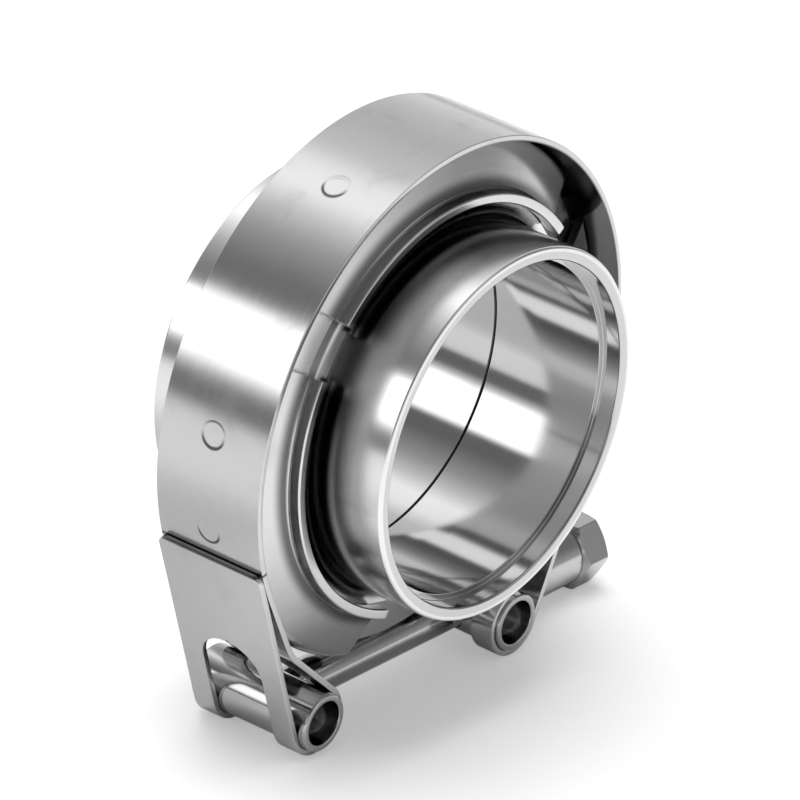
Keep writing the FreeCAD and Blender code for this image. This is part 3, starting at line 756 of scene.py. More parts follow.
class ThreadedRod(GeometryTool):
    """Round rod along X with a right-hand screw thread on its far part and a chamfered tip.

    The wire is one tooth: x is the share of the pitch and y the share of the depth.
    """

    title = "ThreadedRod"
    inputs = {**dict.fromkeys(("Plain Start", "Thread Start", "End", "Radius", "Depth", "Pitch",
                               "Tip Radius"), "Float"), "Steps": "Int"}

    def build(self) -> Value:
        """Thread, plain shank and the two end faces.

        Returns:
            All of them, welded to one skin.
        """
        first, last, radius = self.given("Thread Start"), self.given("End"), self.given("Radius")
        pitch, steps, tip = self.given("Pitch"), self.given("Steps"), self.given("Tip Radius")
        turns = ((last - first) / pitch).math("CEIL") + 2
        grid, row, column = self.grid(turns * steps + 1, self.wire_size())
        share, depth, _ = self.sample(column)
        turn = row / steps - 1
        raw = first + (turn + share) * pitch
        cut = ((raw - first) / pitch / 2).within(0.0, 1.0)
        along = raw.within(first, last)
        out = (radius - self.given("Depth") * depth * cut).math("MINIMUM", tip + last - along)
        thread = self.placed(grid, along, *self.round_x(out, turn))
        tube, row, column = self.grid(steps + 1, 2)
        plain_start = self.given("Plain Start")
        across = plain_start + (first - plain_start) * column
        shank = self.placed(tube, across, *self.round_x(radius, row / steps))
        faces = [self.end_face(plain_start, radius, steps), self.end_face(last, tip, steps)]
        return self.joined([thread, shank, *faces])

    def round_x(self, radius: Value, turns: Value) -> tuple[Value, Value]:
        """Y and Z of a point at a radius, a number of turns round the X axis."""
        turn = turns * FULL_TURN
        return radius * turn.math("COSINE"), radius * turn.math("SINE")

    def end_face(self, along: Value, radius: Value, steps: Value) -> Value:
        """Flat end of the rod.

        Args:
            along: its place on the rod.
            radius: its radius.
            steps: points round it.

        Returns:
            The face.
        """
        disc = self.graph.value("GeometryNodeMeshCircle", {"Vertices": steps, "Radius": radius},
                                fill_type="NGON")
        x, y, _ = self.graph.split(self.graph.value("GeometryNodeInputPosition"))
        return self.placed(disc, along, x, y)


# Mesh helpers
def add_object(name: str, data: bpy.types.ID) -> Object:
    """Add an object to the scene.

    Args:
        name: name of the object.
        data: its mesh, camera or light.

    Returns:
        The object.
    """
    made = bpy.data.objects.new(name, data)
    bpy.context.scene.collection.objects.link(made)
    return made


def add_shell(name: str, shell: bmesh.types.BMesh, material: Material) -> Object:
    """New object from a loose mesh.

    Args:
        name: name of the object.
        shell: the loose mesh, freed here.
        material: its material.

    Returns:
        The object.
    """
    mesh = bpy.data.meshes.new(name)
    shell.to_mesh(mesh)
    shell.free()
    mesh.materials.append(material)
    return add_object(name, mesh)


def bake(made: Object) -> None:
    """Put what an object's modifiers give into its plain mesh, and remove the modifiers.

    Args:
        made: the object.
    """
    graph = bpy.context.evaluated_depsgraph_get()
    mesh = bpy.data.meshes.new_from_object(made.evaluated_get(graph), depsgraph=graph)
    made.modifiers.clear()
    made.data = mesh


def modify(made: Object, kind: str, **settings: object) -> None:
    """Bake one modifier into an object.

    Args:
        made: the object.
        kind: the modifier's type.
        settings: its properties.
    """
    modifier = made.modifiers.new(kind.lower(), kind)
    for name, setting in settings.items():
        setattr(modifier, name, setting)
    bake(made)


def face_outwards(made: Object) -> None:
    """Weld doubles and point every face out of the metal.

    Args:
        made: the object.
    """
    shell = bmesh.new()
    shell.from_mesh(made.data)
    bmesh.ops.remove_doubles(shell, verts=shell.verts, dist=DOUBLES)
    bmesh.ops.dissolve_degenerate(shell, edges=shell.edges, dist=DOUBLES)
    bmesh.ops.recalc_face_normals(shell, faces=shell.faces)
    shell.to_mesh(made.data)
    shell.free()


def soften_edges(made: Object, width: float, angle: float = 40.0) -> None:
    """Break edges sharper than an angle in degrees with a narrow round, and shade the rest smooth."""
    modify(made, "BEVEL", width=width, segments=2, limit_method="ANGLE", angle_limit=radians(angle),
           use_clamp_overlap=True)
    shade(made, angle)


def shade(made: Object, angle: float = 35.0) -> None:
    """Shade smoothly, with crisp edges, while broad faces keep their own slope.

    Args:
        made: the object.
        angle: edges sharper than this stay crisp, degrees.
    """
    made.data.shade_smooth()
    made.data.set_sharp_from_angle(angle=radians(angle))
    modify(made, "WEIGHTED_NORMAL", keep_sharp=True)


def combine(made: Object, tool: Object, operation: str) -> None:
    """Join a tool to a piece, cut it away or keep what both share, and delete the tool."""
    modify(made, "BOOLEAN", operation=operation, solver="EXACT", object=tool)
    bpy.data.objects.remove(tool)


def settle(made: Object, node: str, body: str, finish: Steel) -> None:
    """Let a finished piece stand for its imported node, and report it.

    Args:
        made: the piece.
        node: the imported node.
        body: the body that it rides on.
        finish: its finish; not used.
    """
    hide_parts(node)
    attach(made, body)
    LOG.info("%s stands for %s on %s: %d faces", made.name, node, body, len(made.data.polygons))


# The strap
@dataclass(frozen=True)
class Station:
    """Cross-section of the strip.

    Attributes:
        place: its middle in the XZ plane.
        normal: square to the strip, towards the loop's outside.
        half_width: half its width along the pipe.
        half_slot: half the slot there, or half the slot's straight end beyond it.
        slotted: whether the slot is open from here to the next station.
    """

    place: Vector
    normal: Vector
    half_width: float
    half_slot: float
    slotted: bool = False


@dataclass
class Strap:
    """One strip: round the ring, each end turned back round its barrel and welded down outside.

    Attributes:
        finish: its finish.
        thickness: sheet of the strip.
        eye_clearance: loop over its barrel, radial.
        leg_angle: where the inner leg leaves the ring, from the top, degrees.
        leg_run: inner leg's first straight, down to its bend.
        leg_bend: inside radius of that bend.
        slot_half_width: half the slot round each loop.
        slot_tip: half the short straight at the top of the slot's arched ends.
        slot_steps: steps round half of such an arch.
        outer_slot_run: slot's end in the outer leg, up along it from the loop's centre.
        inner_slot_rise: slot's end in the inner leg, above the loop's centre.
        lap_angle: folded ply lying on the ring past its tangent point, degrees.
        lap_corner: rounding of the folded ply's corners.
        lap_lift: opening under the folded ply's end.
        lap_spring: length of ply that stands off there.
        lap_rows: rows of the mesh up the ply to its tangent point, as shares of the way.
        edge: round broken along all edges.
        eye: centre of the left loop.
        barrel_radius: radius of the barrels.
        half_width: half the strip's width.
    """

    finish: Steel = STRAP_STEEL
    thickness: float = STRAP_THICKNESS
    eye_clearance: float = 0.03 * MM
    leg_angle: float = 118.0
    leg_run: float = 10.2 * MM
    leg_bend: float = 8.0 * MM
    slot_half_width: float = 5.3 * MM
    slot_tip: float = 0.35 * MM
    slot_steps: int = 12
    outer_slot_run: float = 15.4 * MM
    inner_slot_rise: float = 10.0 * MM
    lap_angle: float = 1.3
    lap_corner: float = 1.4 * MM
    lap_lift: float = 0.06 * MM
    lap_spring: float = 3.0 * MM
    lap_rows: Sequence[float] = (0.5, 0.94, 0.97, 1.0)
    edge: float = 0.16 * MM
    eye: Vector = field(default_factory=lambda: Vector((-EYE.x, EYE.z)))
    barrel_radius: float = field(default_factory=lambda: reach_of("trunnion").x)
    half_width: float = field(default_factory=lambda: reach_of("band").y)

    def arc(self, centre: Vector, radius: float, start: float, end: float, step: float, outwards: float) -> Path:
        """Places and normals along an arc of the left half.

        Args:
            centre: centre of the arc.
            radius: radius of the strip's middle.
            start: first angle from the X axis, radians.
            end: last angle.
            step: largest turn between two places, degrees.
            outwards: 1 if the normal points away from the centre, or -1.

        Returns:
            Pairs of place and normal.
        """
        count = max(1, ceil(abs(end - start) / radians(step)))
        turns = [start + (end - start) * number / count for number in range(count + 1)]
        arms = [Vector((cos(turn), sin(turn))) for turn in turns]
        return [(centre + arm * radius, arm * outwards) for arm in arms]

    def plain(self, path: Path) -> list[Station]:
        """Stations along a path away from the slots."""
        return [Station(place, normal, self.half_width, self.slot_tip) for place, normal in path]

    def slot_end(self, foot: Vector, head: Vector, normal: Vector, top: float, radius: float) -> list[Station]:
        """Stations on a straight leg round the slot's arched end, from the open side up.

        Args:
            foot: lower end of the leg.
            head: upper end of the leg.
            normal: the leg's normal.
            top: top of the arch, as a share of the leg from foot to head.
            radius: radius of the arch along the leg, as a share of it.

        Returns:
            Stations from the full slot to the arch's short straight top.
        """
        last = acos(self.slot_tip / self.slot_half_width)
        stations = []
        for number in range(self.slot_steps + 1):
            turn = last * number / self.slot_steps
            place = foot.lerp(head, top - radius * (1 - sin(turn)))
            half_slot = self.slot_half_width * cos(turn)
            stations.append(Station(place, normal, self.half_width, half_slot, number < self.slot_steps))
        return stations + self.plain([(foot.lerp(head, top + radius * 0.06), normal)])

    def left_half(self) -> list[Station]:
        """Stations of the left half.

        Returns:
            Stations from the top of the ring to the end of the left folded ply.
        """
        ring = RING_RADIUS - self.thickness / 2
        lap = RING_RADIUS + self.thickness / 2
        bend = self.leg_bend + self.thickness / 2
        loop = self.barrel_radius + self.eye_clearance + self.thickness / 2
        origin = Vector((0.0, 0.0))
        leg_turn = radians(90 + self.leg_angle)
        arm = Vector((cos(leg_turn), sin(leg_turn)))
        bend_centre = arm * (ring - bend) + arm.orthogonal() * self.leg_run
        to_eye = self.eye - bend_centre
        bend_turn = self.bearing(to_eye) - acos((bend + loop) / to_eye.length)
        outer_turn = self.bearing(self.eye) - acos((lap - loop) / self.eye.length)
        stations = self.plain(self.arc(origin, ring, pi / 2, leg_turn, 2, -1))
        stations += self.plain(self.arc(bend_centre, bend, leg_turn, bend_turn, 3, -1))
        wrap = self.arc(self.eye, loop, bend_turn + pi, outer_turn, 5, 1)
        head, foot = stations[-1], wrap[0][0]
        height = head.place.y - foot.y
        top = (self.eye.y + self.inner_slot_rise - foot.y) / height
        inner_end = self.slot_end(foot, head.place, head.normal, top, self.slot_half_width / height)
        stations += [replace(item, slotted=True) for item in reversed(inner_end)]
        stations += [Station(place, out, self.half_width, self.slot_half_width, True) for place, out in wrap]
        up = self.arc(origin, lap, outer_turn, outer_turn - radians(self.lap_angle), 0.2, 1)
        length = (up[0][0] - wrap[-1][0]).length
        stations += self.slot_end(wrap[-1][0], up[0][0], up[0][1], self.outer_slot_run / length,
                                  self.slot_half_width / length)
        return stations + self.lap_end(stations[-1], up)

    @staticmethod
    def bearing(arm: Vector) -> float:
        """Angle of an arm from the X axis, from 0 to a full turn."""
        return atan2(arm.y, arm.x) % FULL_TURN

    def lap_end(self, last: Station, up: Path) -> list[Station]:
        """Stations from the outer leg's last one to the folded ply's end, whose corners are rounded.

        Args:
            last: last station below the ring.
            up: places and normals where the ply lies on the ring.

        Returns:
            The stations, lifted by the opening under the ply.
        """
        first, normal = up[0]
        path = [(last.place.lerp(first, share), normal) for share in self.lap_rows] + up[1:]
        stations = []
        for place, normal in path:
            to_end = (path[-1][0] - place).length
            inset = 0.0
            if to_end < self.lap_corner:
                inset = self.lap_corner - sqrt(self.lap_corner ** 2 - (self.lap_corner - to_end) ** 2)
            lift = self.lap_lift * max(0.0, 1 - to_end / self.lap_spring)
            stations.append(Station(place + normal * lift, normal, self.half_width - inset, self.slot_tip))
        return stations

    def stations(self) -> list[Station]:
        """Stations of the whole strip.

        Returns:
            Stations from the right folded ply's end to the left one's.
        """
        left = self.left_half()
        flip = Vector((-1.0, 1.0))
        right = [replace(item, place=item.place * flip, normal=item.normal * flip, slotted=before.slotted)
                 for before, item in zip(left, left[1:])]
        return right[::-1] + left

    def build(self) -> None:
        """Strap as one closed sheet with its slots."""
        stations = self.stations()
        shell = bmesh.new()
        rows = []
        for item in stations:
            spots = [item.place + item.normal * (side * self.thickness / 2) for side in (1, -1)]
            rows.append([[shell.verts.new((spot.x, y, spot.y)) for y in (
                -item.half_width, -item.half_slot, item.half_slot, item.half_width)] for spot in spots])
        slotted_before = False
        for station, here, after in zip(stations, rows, rows[1:]):
            slotted = station.slotted
            for near, far in zip(here, after):
                for column in (0, 2) if slotted else (0, 1, 2):
                    shell.faces.new((near[column], near[column + 1], far[column + 1], far[column]))
            for column in (0, 1, 2, 3) if slotted else (0, 3):
                shell.faces.new((here[0][column], after[0][column], after[1][column], here[1][column]))
            if slotted != slotted_before:
                shell.faces.new((here[0][1], here[0][2], here[1][2], here[1][1]))
            slotted_before = slotted
        for outer, inner in (rows[0], rows[-1]):
            for column in range(3):
                shell.faces.new((outer[column], outer[column + 1], inner[column + 1], inner[column]))
        made = add_shell("strap", shell, self.finish.make())
        face_outwards(made)
        soften_edges(made, self.edge, angle=50)
        settle(made, "band", "clamp", self.finish)


# Channels and flanges
@dataclass
class Wedge:
    """Sizes that the V-segments and the flanges share where they meet.

    Attributes:
        sheet: sheet of the V-segments.
        half_flat: half the width of the channel's back, to the sharp corner.
        leg_angle: channel leg from the radial direction, degrees.
        clearance: leg to flange cone, square to the cone.
    """

    sheet: float = 1.5 * MM
    half_flat: float = 4.4 * MM
    leg_angle: float = 20.0
    clearance: float = 0.05 * MM

    def leg_outside(self, radius: float) -> float:
        """Distance from the joint to the outside of the channel's leg."""
        return self.half_flat + (RING_RADIUS - STRAP_THICKNESS - radius) * tan(radians(self.leg_angle))

    def leg_inside(self, radius: float) -> float:
        """Distance from the joint to the inside of the channel's leg."""
        return self.leg_outside(radius) - self.sheet / cos(radians(self.leg_angle))

    def cone(self, radius: float) -> float:
        """Distance from the joint to the cone on the back of a flange."""
        return self.leg_inside(radius) - self.clearance / cos(radians(self.leg_angle))


@dataclass
class Channels:
    """The three rolled V-segments under the strap.

    Attributes:
        tool: tree that turns their section.
        finish: their finish.
        wedge: sizes shared with the flanges.
        foot_gap: foot of the channel over the stub.
        foot_overhang: foot's end past the strap's edge.
        bend: inside bend at the channel's back.
        foot_bend: inside bend at the foot.
        edge: round along the sheet's edges.
        end_edge: round along the cut ends.
        span: arc of one segment, degrees.
        side_angle: middle of each side segment from the top, degrees.
        steps: flats along one segment.
    """

    tool: TurnedOutline
    finish: Steel = SEGMENT_STEEL
    wedge: Wedge = field(default_factory=Wedge)
    foot_gap: float = 2.4 * MM
    foot_overhang: float = 0.15 * MM
    bend: float = 0.5 * MM
    foot_bend: float = 0.8 * MM
    edge: float = 0.3 * MM
    end_edge: float = 0.12 * MM
    span: float = 99.0
    side_angle: float = 114.5
    steps: int = 66

    def outline(self) -> list[Vector]:
        """Section of the channel.

        Returns:
            Its outline with the two flared feet.
        """
        sheet = self.wedge.sheet
        inner = STUB_RADIUS + self.foot_gap
        outer = inner + sheet
        top = RING_RADIUS - STRAP_THICKNESS
        reach = reach_of("band").y + self.foot_overhang
        half = [Corner(-along, radius, bend) for along, radius, bend in (
            (self.wedge.half_flat, top, self.bend + sheet),
            (self.wedge.leg_outside(outer), outer, self.foot_bend),
            (reach, outer, self.edge),
            (reach, inner, self.edge),
            (self.wedge.leg_inside(inner), inner, self.foot_bend + sheet),
            (self.wedge.leg_inside(top - sheet), top - sheet, self.bend))]
        return rounded_outline(half + [replace(corner, along=-corner.along) for corner in reversed(half)])

    def build(self) -> None:
        """All three segments."""
        material = self.finish.make()
        for name, middle in (("top", 0.0), ("left", -self.side_angle), ("right", self.side_angle)):
            made = self.tool.run("channel_" + name, self.outline(), material, Closed_Ends=True,
                                 Steps=self.steps, Start=radians(middle - self.span / 2),
                                 Sweep=radians(self.span))
            soften_edges(made, self.end_edge, angle=60)
            settle(made, "v_segment_" + name, "clamp", self.finish)


@dataclass
class Flange:
    """Turned flange with its conical back and pipe stub.

    Attributes:
        side: front or rear.
        tool: tree that turns its section.
        finish: its finish.
        wedge: sizes shared with the V-segments.
        stub_wall: wall of the stub round the pipe socket.
        socket_depth: depth of the socket to its stop.
        socket_step: step from the socket to the free bore.
        root_rise: foot of the cone above the stub.
        root_fillet: fillet from there to the stub.
        lip_edge: round of the lip's edges.
        mouth_edge: round of the stub's mouth.
        joint_gap: gap between the two faces.
        spigot_rise: spigot above the free bore.
        spigot_length: spigot's reach past the joint.
        spigot_clearance: recess over the spigot.
        register_edge: round where spigot and recess meet the bore.
        edge: round of the other edges.
        steps: flats round the flange.
    """

    side: Side
    tool: TurnedOutline
    finish: Steel = FLANGE_STEEL
    wedge: Wedge = field(default_factory=Wedge)
    stub_wall: float = 2.0 * MM
    socket_depth: float = 3.2 * MM
    socket_step: float = 0.9 * MM
    root_rise: float = 2.7 * MM
    root_fillet: float = 2.0 * MM
    lip_edge: float = 0.35 * MM
    mouth_edge: float = 0.4 * MM
    joint_gap: float = 0.1 * MM
    spigot_rise: float = 5.4 * MM
    spigot_length: float = 1.4 * MM
    spigot_clearance: float = 0.12 * MM
    register_edge: float = 0.22 * MM
    edge: float = 0.1 * MM
    steps: int = 216

    def corners(self) -> list[Corner]:
        """Section of the flange.

        Returns:
            Its corners from the stub's mouth through the bore to the lip and back.
        """
        reach = reach_of("flange_rear").y + centre_of("flange_rear").y
        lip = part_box("flange_rear")[1].z
        root = STUB_RADIUS + self.root_rise
        socket = STUB_RADIUS - self.stub_wall
        bore = socket - self.socket_step
        face = self.joint_gap / 2
        register, top = -self.spigot_length, bore + self.spigot_rise
        if self.side is Side.REAR:
            register = self.spigot_length + self.spigot_clearance
            top += self.spigot_clearance
        return [Corner(along * self.side.value, radius, bend) for along, radius, bend in (
            (reach, socket, self.mouth_edge),
            (reach - self.socket_depth, socket, self.edge),
            (reach - self.socket_depth, bore, self.edge),
            (register, bore, self.register_edge),
            (register, top, self.edge),
            (face, top, self.edge),
            (face, lip, self.lip_edge),
            (self.wedge.cone(lip), lip, self.lip_edge),
            (self.wedge.cone(root), root, self.edge),
            (self.wedge.cone(root), STUB_RADIUS, self.root_fillet),
            (reach, STUB_RADIUS, self.mouth_edge))]

    def build(self, material: Material) -> None:
        """The flange.

        Args:
            material: material that both flanges share.
        """
        node = "flange_" + self.side.name.lower()
        made = self.tool.full_turn("turned_" + node, self.corners(), self.steps, material)
        shade(made)
        settle(made, node, "clamp", self.finish)


# Bolt, barrels, sleeve and nut
@dataclass
class Fastening:
    """The T-bolt with its barrel, the trunnion, the sleeve and the nut.

    Attributes:
        turned: tree that turns an outline.
        rod: tree that makes the threaded rod.
        bolt_finish: finish of the T-bolt and the trunnion.
        nut_finish: finish of the sleeve and the nut.
        recess_wall: wall of a barrel round the recess in its end.
        recess_floor: floor of that recess over the cross hole.
        recess_fillet: round of the recess's floor.
        recess_edge: round of its mouth.
        barrel_edge: round of the barrels' outer edges.
        barrel_steps: flats round a barrel and its cross hole.
        shank_radius: M6 shank.
        hole_clearance: trunnion's cross hole and the sleeve's bore over the shank.
        thread_start: first turn of the thread.
        pitch: one turn of the M6 thread.
        thread_depth: depth of the thread.
        thread_steps: flats round the thread.
        tooth: one tooth, as shares of the pitch and of the depth.
        tip_edge: chamfer of the bolt's tip.
        bore_edge: round of the sleeve's bore.
        sleeve_edge: round of its outer edges.
        nut_clearance: nut's bore over the shank.
        nut_mouth: chamfer of the nut's bore.
        mouth_edge: round of that chamfer's edge.
        nut_edge: round of the nut's other edges.
        crown_inset: flat ring of the nut's face inside its flats.
        crown_angle: chamfer of the nut's corners, degrees.
        fine_steps: flats round the sleeve and the nut.
    """

    turned: TurnedOutline
    rod: ThreadedRod
    bolt_finish: Steel = BOLT_STEEL
    nut_finish: Steel = NUT_STEEL
    recess_wall: float = 1.0 * MM
    recess_floor: float = 0.6 * MM
    recess_fillet: float = 0.3 * MM
    recess_edge: float = 0.2 * MM
    barrel_edge: float = 0.3 * MM
    barrel_steps: int = 64
    shank_radius: float = 3.0 * MM
    hole_clearance: float = 0.2 * MM
    thread_start: float = 15.0 * MM
    pitch: float = 1.0 * MM
    thread_depth: float = 0.58 * MM
    thread_steps: int = 36
    tooth: Sequence[Span] = ((0.0, 0.0), (0.125, 0.0), (0.4375, 1.0), (0.6875, 1.0), (1.0, 0.0))
    tip_edge: float = 0.6 * MM
    bore_edge: float = 0.15 * MM
    sleeve_edge: float = 0.3 * MM
    nut_clearance: float = 0.06 * MM
    nut_mouth: float = 0.45 * MM
    mouth_edge: float = 0.05 * MM
    nut_edge: float = 0.12 * MM
    crown_inset: float = 0.3 * MM
    crown_angle: float = 30.0
    fine_steps: int = 96

    def barrel(self, name: str, node: str, across: float, material: Material) -> Object:
        """Barrel along the pipe with a recess in each end.

        Args:
            name: name of the piece.
            node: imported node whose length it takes.
            across: its place along X.
            material: its material.

        Returns:
            The barrel, still whole where the bolt passes.
        """
        radius, half = reach_of("trunnion").x, reach_of(node).y
        recess = radius - self.recess_wall
        floor = self.shank_radius + self.hole_clearance + self.recess_floor
        rear = [Corner(half, radius, self.barrel_edge), Corner(half, recess, self.recess_edge),
                Corner(floor, recess, self.recess_fillet), Corner(floor, 0.0)]
        front = [replace(corner, along=-corner.along) for corner in reversed(rear)]
        made = self.turned.full_turn(name, front + rear, self.barrel_steps, material)
        made.data.transform(Matrix.Translation((across, 0.0, EYE.z)))
        return made

    def along_bolt(self, name: str, corners: Sequence[Corner], steps: int, material: Material) -> Object:
        """Piece turned about the bolt's axis.

        Args:
            name: name of the piece.
            corners: its section.
            steps: flats round it.
            material: its material.

        Returns:
            The piece in its place.
        """
        made = self.turned.full_turn(name, corners, steps, material)
        made.data.transform(Matrix.Translation((0.0, 0.0, EYE.z)) @ Matrix.Rotation(-pi / 2, 4, "Z"))
        return made

    def build_bolt(self, material: Material) -> None:
        """T-bolt: barrel head, plain shank and thread in one piece.

        Args:
            material: its material.
        """
        made = self.barrel("t_bolt_forged", "t_bolt", -EYE.x, material)
        shank = self.rod.run("shank", [Vector(spot) for spot in self.tooth], material, closed=False,
                             Plain_Start=-EYE.x, Thread_Start=self.thread_start, End=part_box("t_bolt")[1].x,
                             Radius=self.shank_radius, Depth=self.thread_depth, Pitch=self.pitch,
                             Tip_Radius=self.shank_radius - self.tip_edge, Steps=self.thread_steps)
        shank.data.transform(Matrix.Translation((0.0, 0.0, EYE.z)))
        combine(made, shank, "UNION")
        shade(made, 32)
        settle(made, "t_bolt", "clamp", self.bolt_finish)

    def build_trunnion(self, material: Material) -> None:
        """Trunnion: barrel with the cross hole for the shank.

        Args:
            material: its material.
        """
        made = self.barrel("trunnion_drilled", "trunnion", EYE.x, material)
        reach = reach_of("trunnion").x * 1.5
        hole = self.shank_radius + self.hole_clearance
        corners = [Corner(EYE.x + along, radius) for along, radius in (
            (-reach, 0.0), (-reach, hole), (reach, hole), (reach, 0.0))]
        combine(made, self.along_bolt("drill", corners, self.barrel_steps, material), "DIFFERENCE")
        shade(made)
        settle(made, "trunnion", "clamp", self.bolt_finish)

    def build_sleeve(self, material: Material) -> None:
        """Sleeve between the trunnion and the nut.

        Args:
            material: its material.
        """
        low, high = (corner.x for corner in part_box("sleeve"))
        radius = reach_of("sleeve").z
        bore = self.shank_radius + self.hole_clearance
        corners = [Corner(low, bore, self.bore_edge), Corner(low, radius, self.sleeve_edge),
                   Corner(high, radius, self.sleeve_edge), Corner(high, bore, self.bore_edge)]
        made = self.along_bolt("sleeve_turned", corners, self.fine_steps, material)
        shade(made)
        settle(made, "sleeve", "sleeve", self.nut_finish)

    def build_nut(self, material: Material) -> None:
        """Hexagon nut with chamfered corners: a turned blank cut to a prism.

        Args:
            material: its material.
        """
        low, high = (corner.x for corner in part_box("hex_nut"))
        half_flat = reach_of("hex_nut").z
        corner = half_flat / cos(radians(30))
        crown = half_flat - self.crown_inset
        wide = corner * 1.05
        fall = (wide - crown) * tan(radians(self.crown_angle))
        bore = self.shank_radius + self.nut_clearance
        corners = []
        for end, inwards in ((low, 1), (high, -1)):
            part = [Corner(end + inwards * depth, radius, bend) for depth, radius, bend in (
                (self.nut_mouth, bore, 0.0), (0.0, bore + self.nut_mouth, self.mouth_edge),
                (0.0, crown, self.nut_edge), (fall, wide, 0.0))]
            corners += part[::inwards]
        made = self.along_bolt("hex_nut_chamfered", corners, self.fine_steps, material)
        prism = bmesh.new()
        bmesh.ops.create_cone(prism, cap_ends=True, segments=6, radius1=corner, radius2=corner,
                              depth=(high - low) * 2)
        # The prism is made along Z with two corners on Y; laid along the bolt, flats face up and down
        place = Matrix.Translation((centre_of("hex_nut").x, 0.0, EYE.z))
        bmesh.ops.transform(prism, verts=prism.verts, matrix=place @ Matrix.Rotation(pi / 2, 4, "Y"))
        hexagon = add_shell("hexagon", prism, material)
        soften_edges(hexagon, self.nut_edge)
        combine(made, hexagon, "INTERSECT")
        shade(made, 20)
        settle(made, "hex_nut", "nut", self.nut_finish)

    def build(self) -> None:
        """All four pieces along the bolt."""
        bolt_material, nut_material = self.bolt_finish.make(), self.nut_finish.make()
        self.build_bolt(bolt_material)
        self.build_trunnion(bolt_material)
        self.build_sleeve(nut_material)
        self.build_nut(nut_material)


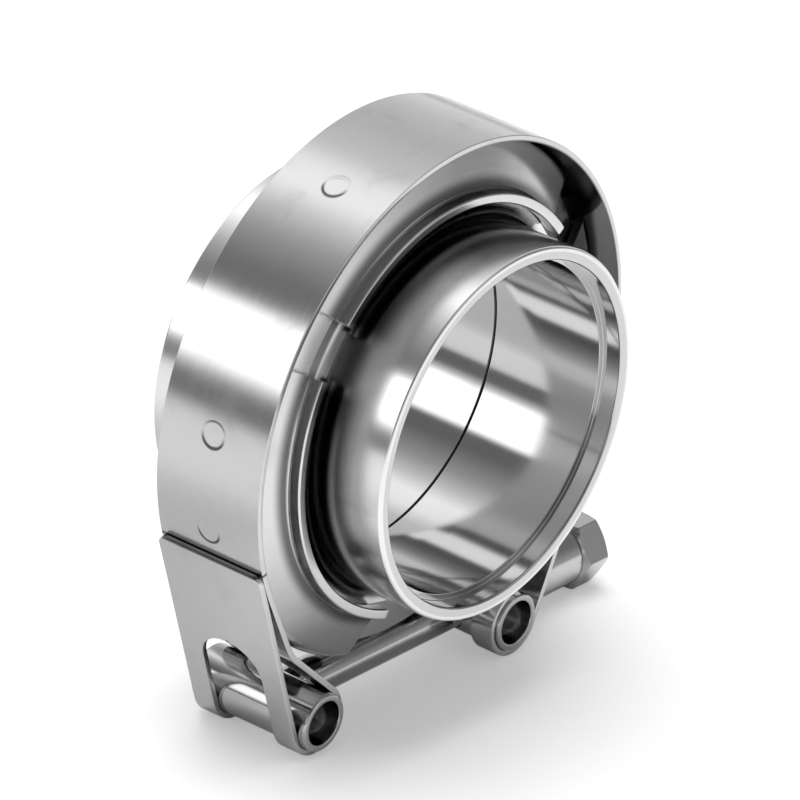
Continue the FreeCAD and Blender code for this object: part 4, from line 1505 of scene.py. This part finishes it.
# Studio
@dataclass
class Studio:
    """Pale floor, soft light and the camera.

    Attributes:
        azimuth: camera round the object, degrees; 0 looks along +Y and 90 along -X.
        elevation: camera above the horizon, degrees.
        roll: camera turned about its own axis, degrees.
        distance: camera to the point it looks at.
        lens: focal length, millimetres.
        aim: point it looks at.
        view_end: farthest distance that the camera sees.
        floor_size: side of the floor.
        floor_near: how much dimmer the metal sees the floor near it, by distance.
        floor_far: the same far away.
        floor_behind: where that dimmer floor begins, by y.
        floor_right: share of it from left to right, by x.
        lift: share of plain white that the camera sees in the floor.
        panels: light all round the pipe's axis, as pairs of angle from the top in degrees and level.
        room_behind: change from the room before the object to those panels, by the direction's y.
        room_left: level of the room to the left, by the direction's x.
        room_right: the same to the right.
        room_above: level of the room upwards, by the direction's z.
        lamp_power: strength of the lamp over the floor, in watts.
        lamp_size: width of the lamp.
        lamp_place: place of the lamp.
    """

    azimuth: float = -53.4
    elevation: float = 26.2
    roll: float = 5.6
    distance: float = 1.33
    lens: float = 430.0
    aim: Vector = field(default_factory=lambda: Vector((0.002, 0.0, -0.003)))
    view_end: float = 20.0
    floor_size: float = 2.0
    floor_near: Step = (0.07, 0.13, 0.45, 0.2)
    floor_far: Step = (0.3, 0.7, 0.2, 0.8)
    floor_behind: Span = (-0.02, 0.03)
    floor_right: Step = (-0.05, 0.1, 1.0, 0.5)
    lift: float = 0.35
    panels: Sequence[Span] = (
        (-180, 0.85), (-98, 0.75), (-94, 0.2), (-86, 0.2), (-81, 1.0), (-78, 2.2), (-54, 2.2),
        (-50, 0.18), (-40, 0.2), (-33, 0.3), (-21, 0.5), (-9, 0.92), (2, 1.5), (14, 1.4), (26, 0.88),
        (50, 0.7), (74, 0.8), (98, 1.0), (180, 0.85))
    room_behind: Span = (-0.12, 0.1)
    room_left: Step = (-0.35, 0.15, 0.4, 1.0)
    room_right: Step = (0.3, 0.85, 1.0, 0.34)
    room_above: Step = (0.1, 0.5, 1.0, 0.5)
    lamp_power: float = 8.0
    lamp_size: float = 0.7
    lamp_place: tuple[float, float, float] = (-0.05, 0.08, 0.85)

    def back(self) -> Vector:
        """Direction from the aim to the camera."""
        turn, rise = radians(self.azimuth), radians(self.elevation)
        return Vector((sin(turn) * cos(rise), -cos(turn) * cos(rise), sin(rise)))

    def build_camera(self) -> None:
        """Camera at the photograph's angle."""
        data = bpy.data.cameras.new("camera")
        data.lens = self.lens
        data.clip_end = self.view_end
        camera = add_object("camera", data)
        camera.location = self.aim + self.back() * self.distance
        camera.rotation_mode = "QUATERNION"
        level = (-self.back()).to_track_quat("-Z", "Y")
        camera.rotation_quaternion = level @ Quaternion((0.0, 0.0, 1.0), radians(self.roll))
        bpy.context.scene.camera = camera

    def build_floor(self) -> None:
        """White floor that keeps the soft shadow; the metal sees a dimmer one behind it."""
        material, graph = new_material("floor_white")
        paper = graph.value("ShaderNodeBsdfPrincipled", {
            "Base Color": tone(0.9), "Roughness": 0.45, "Specular IOR Level": 0.25})
        x, y, _ = graph.split(graph.value("ShaderNodeTexCoord", output="Object"))
        reach = (x * x + y * y).math("SQRT")
        dim = reach.ramp(*self.floor_near).math("MAXIMUM", reach.ramp(*self.floor_far))
        dim = y.ramp(*self.floor_behind) * x.ramp(*self.floor_right) * dim
        glossy = graph.value("ShaderNodeLightPath", output="Is Glossy Ray")
        black = graph.value("ShaderNodeEmission", {"Color": tone(0.0), "Strength": 0.0})
        seen = graph.value("ShaderNodeMixShader", {0: dim * glossy, 1: paper, 2: black})
        camera_ray = graph.value("ShaderNodeLightPath", output="Is Camera Ray")
        white = graph.value("ShaderNodeEmission", {"Color": tone(1.0), "Strength": 1.0})
        lifted = graph.value("ShaderNodeMixShader", {0: camera_ray * self.lift, 1: seen, 2: white})
        graph.node("ShaderNodeOutputMaterial", {"Surface": lifted})
        mesh = bpy.data.meshes.new("floor")
        half = self.floor_size / 2
        mesh.from_pydata([(x * half, y * half, FLOOR_LEVEL) for x, y in ((-1, -1), (1, -1), (1, 1), (-1, 1))],
                         [], [(0, 1, 2, 3)])
        mesh.materials.append(material)
        add_object("floor", mesh)

    def build_world(self) -> None:
        """Soft panels round the pipe's axis, a dimmer room before the object, and white for the camera."""
        world = bpy.data.worlds.new("studio")
        world.use_nodes = True
        graph = Graph(world.node_tree)
        x, y, z = graph.split(graph.value("ShaderNodeTexCoord", output="Generated"))
        turn = x.math("ARCTAN2", z) / FULL_TURN + 0.5
        scale = max(level for _, level in self.panels)
        stops = [(angle / 360 + 0.5, level / scale) for angle, level in self.panels]
        panels = graph.value("ShaderNodeValToRGB", {"Fac": turn}, stops=stops)
        front = x.ramp(*self.room_left) * x.ramp(*self.room_right) * z.ramp(*self.room_above) / scale
        room = graph.mix(y.ramp(*self.room_behind), graph.xyz(front, front, front), panels)
        lit = graph.value("ShaderNodeBackground", {"Color": room, "Strength": scale})
        white = graph.value("ShaderNodeBackground", {"Color": tone(1.0), "Strength": 1.0})
        camera_ray = graph.value("ShaderNodeLightPath", output="Is Camera Ray")
        shown = graph.value("ShaderNodeMixShader", {0: camera_ray, 1: lit, 2: white})
        graph.node("ShaderNodeOutputWorld", {"Surface": shown})
        bpy.context.scene.world = world

    def build_lamp(self) -> None:
        """One soft lamp over the floor, unseen in the metal."""
        data = bpy.data.lights.new("overhead", "AREA")
        data.energy = self.lamp_power
        data.shape = "DISK"
        data.size = self.lamp_size
        lamp = add_object("overhead", data)
        lamp.location = self.lamp_place
        lamp.rotation_mode = "QUATERNION"
        lamp.rotation_quaternion = (-lamp.location).to_track_quat("-Z", "Y")
        lamp.visible_glossy = False

    def build(self) -> None:
        """Camera, floor and lights."""
        self.build_camera()
        self.build_floor()
        self.build_world()
        self.build_lamp()
        bpy.context.scene.view_settings.view_transform = "Standard"
        LOG.info("studio ready")


def main() -> None:
    """Build every piece, then the studio."""
    logging.basicConfig(level=logging.INFO, format="%(name)s: %(message)s")
    turned, rod = TurnedOutline(), ThreadedRod()
    Strap().build()
    Channels(turned).build()
    flange_material = FLANGE_STEEL.make()
    for side in Side:
        Flange(side, turned).build(flange_material)
    Fastening(turned, rod).build()
    Studio().build()


if __name__ == "__main__":
    main()
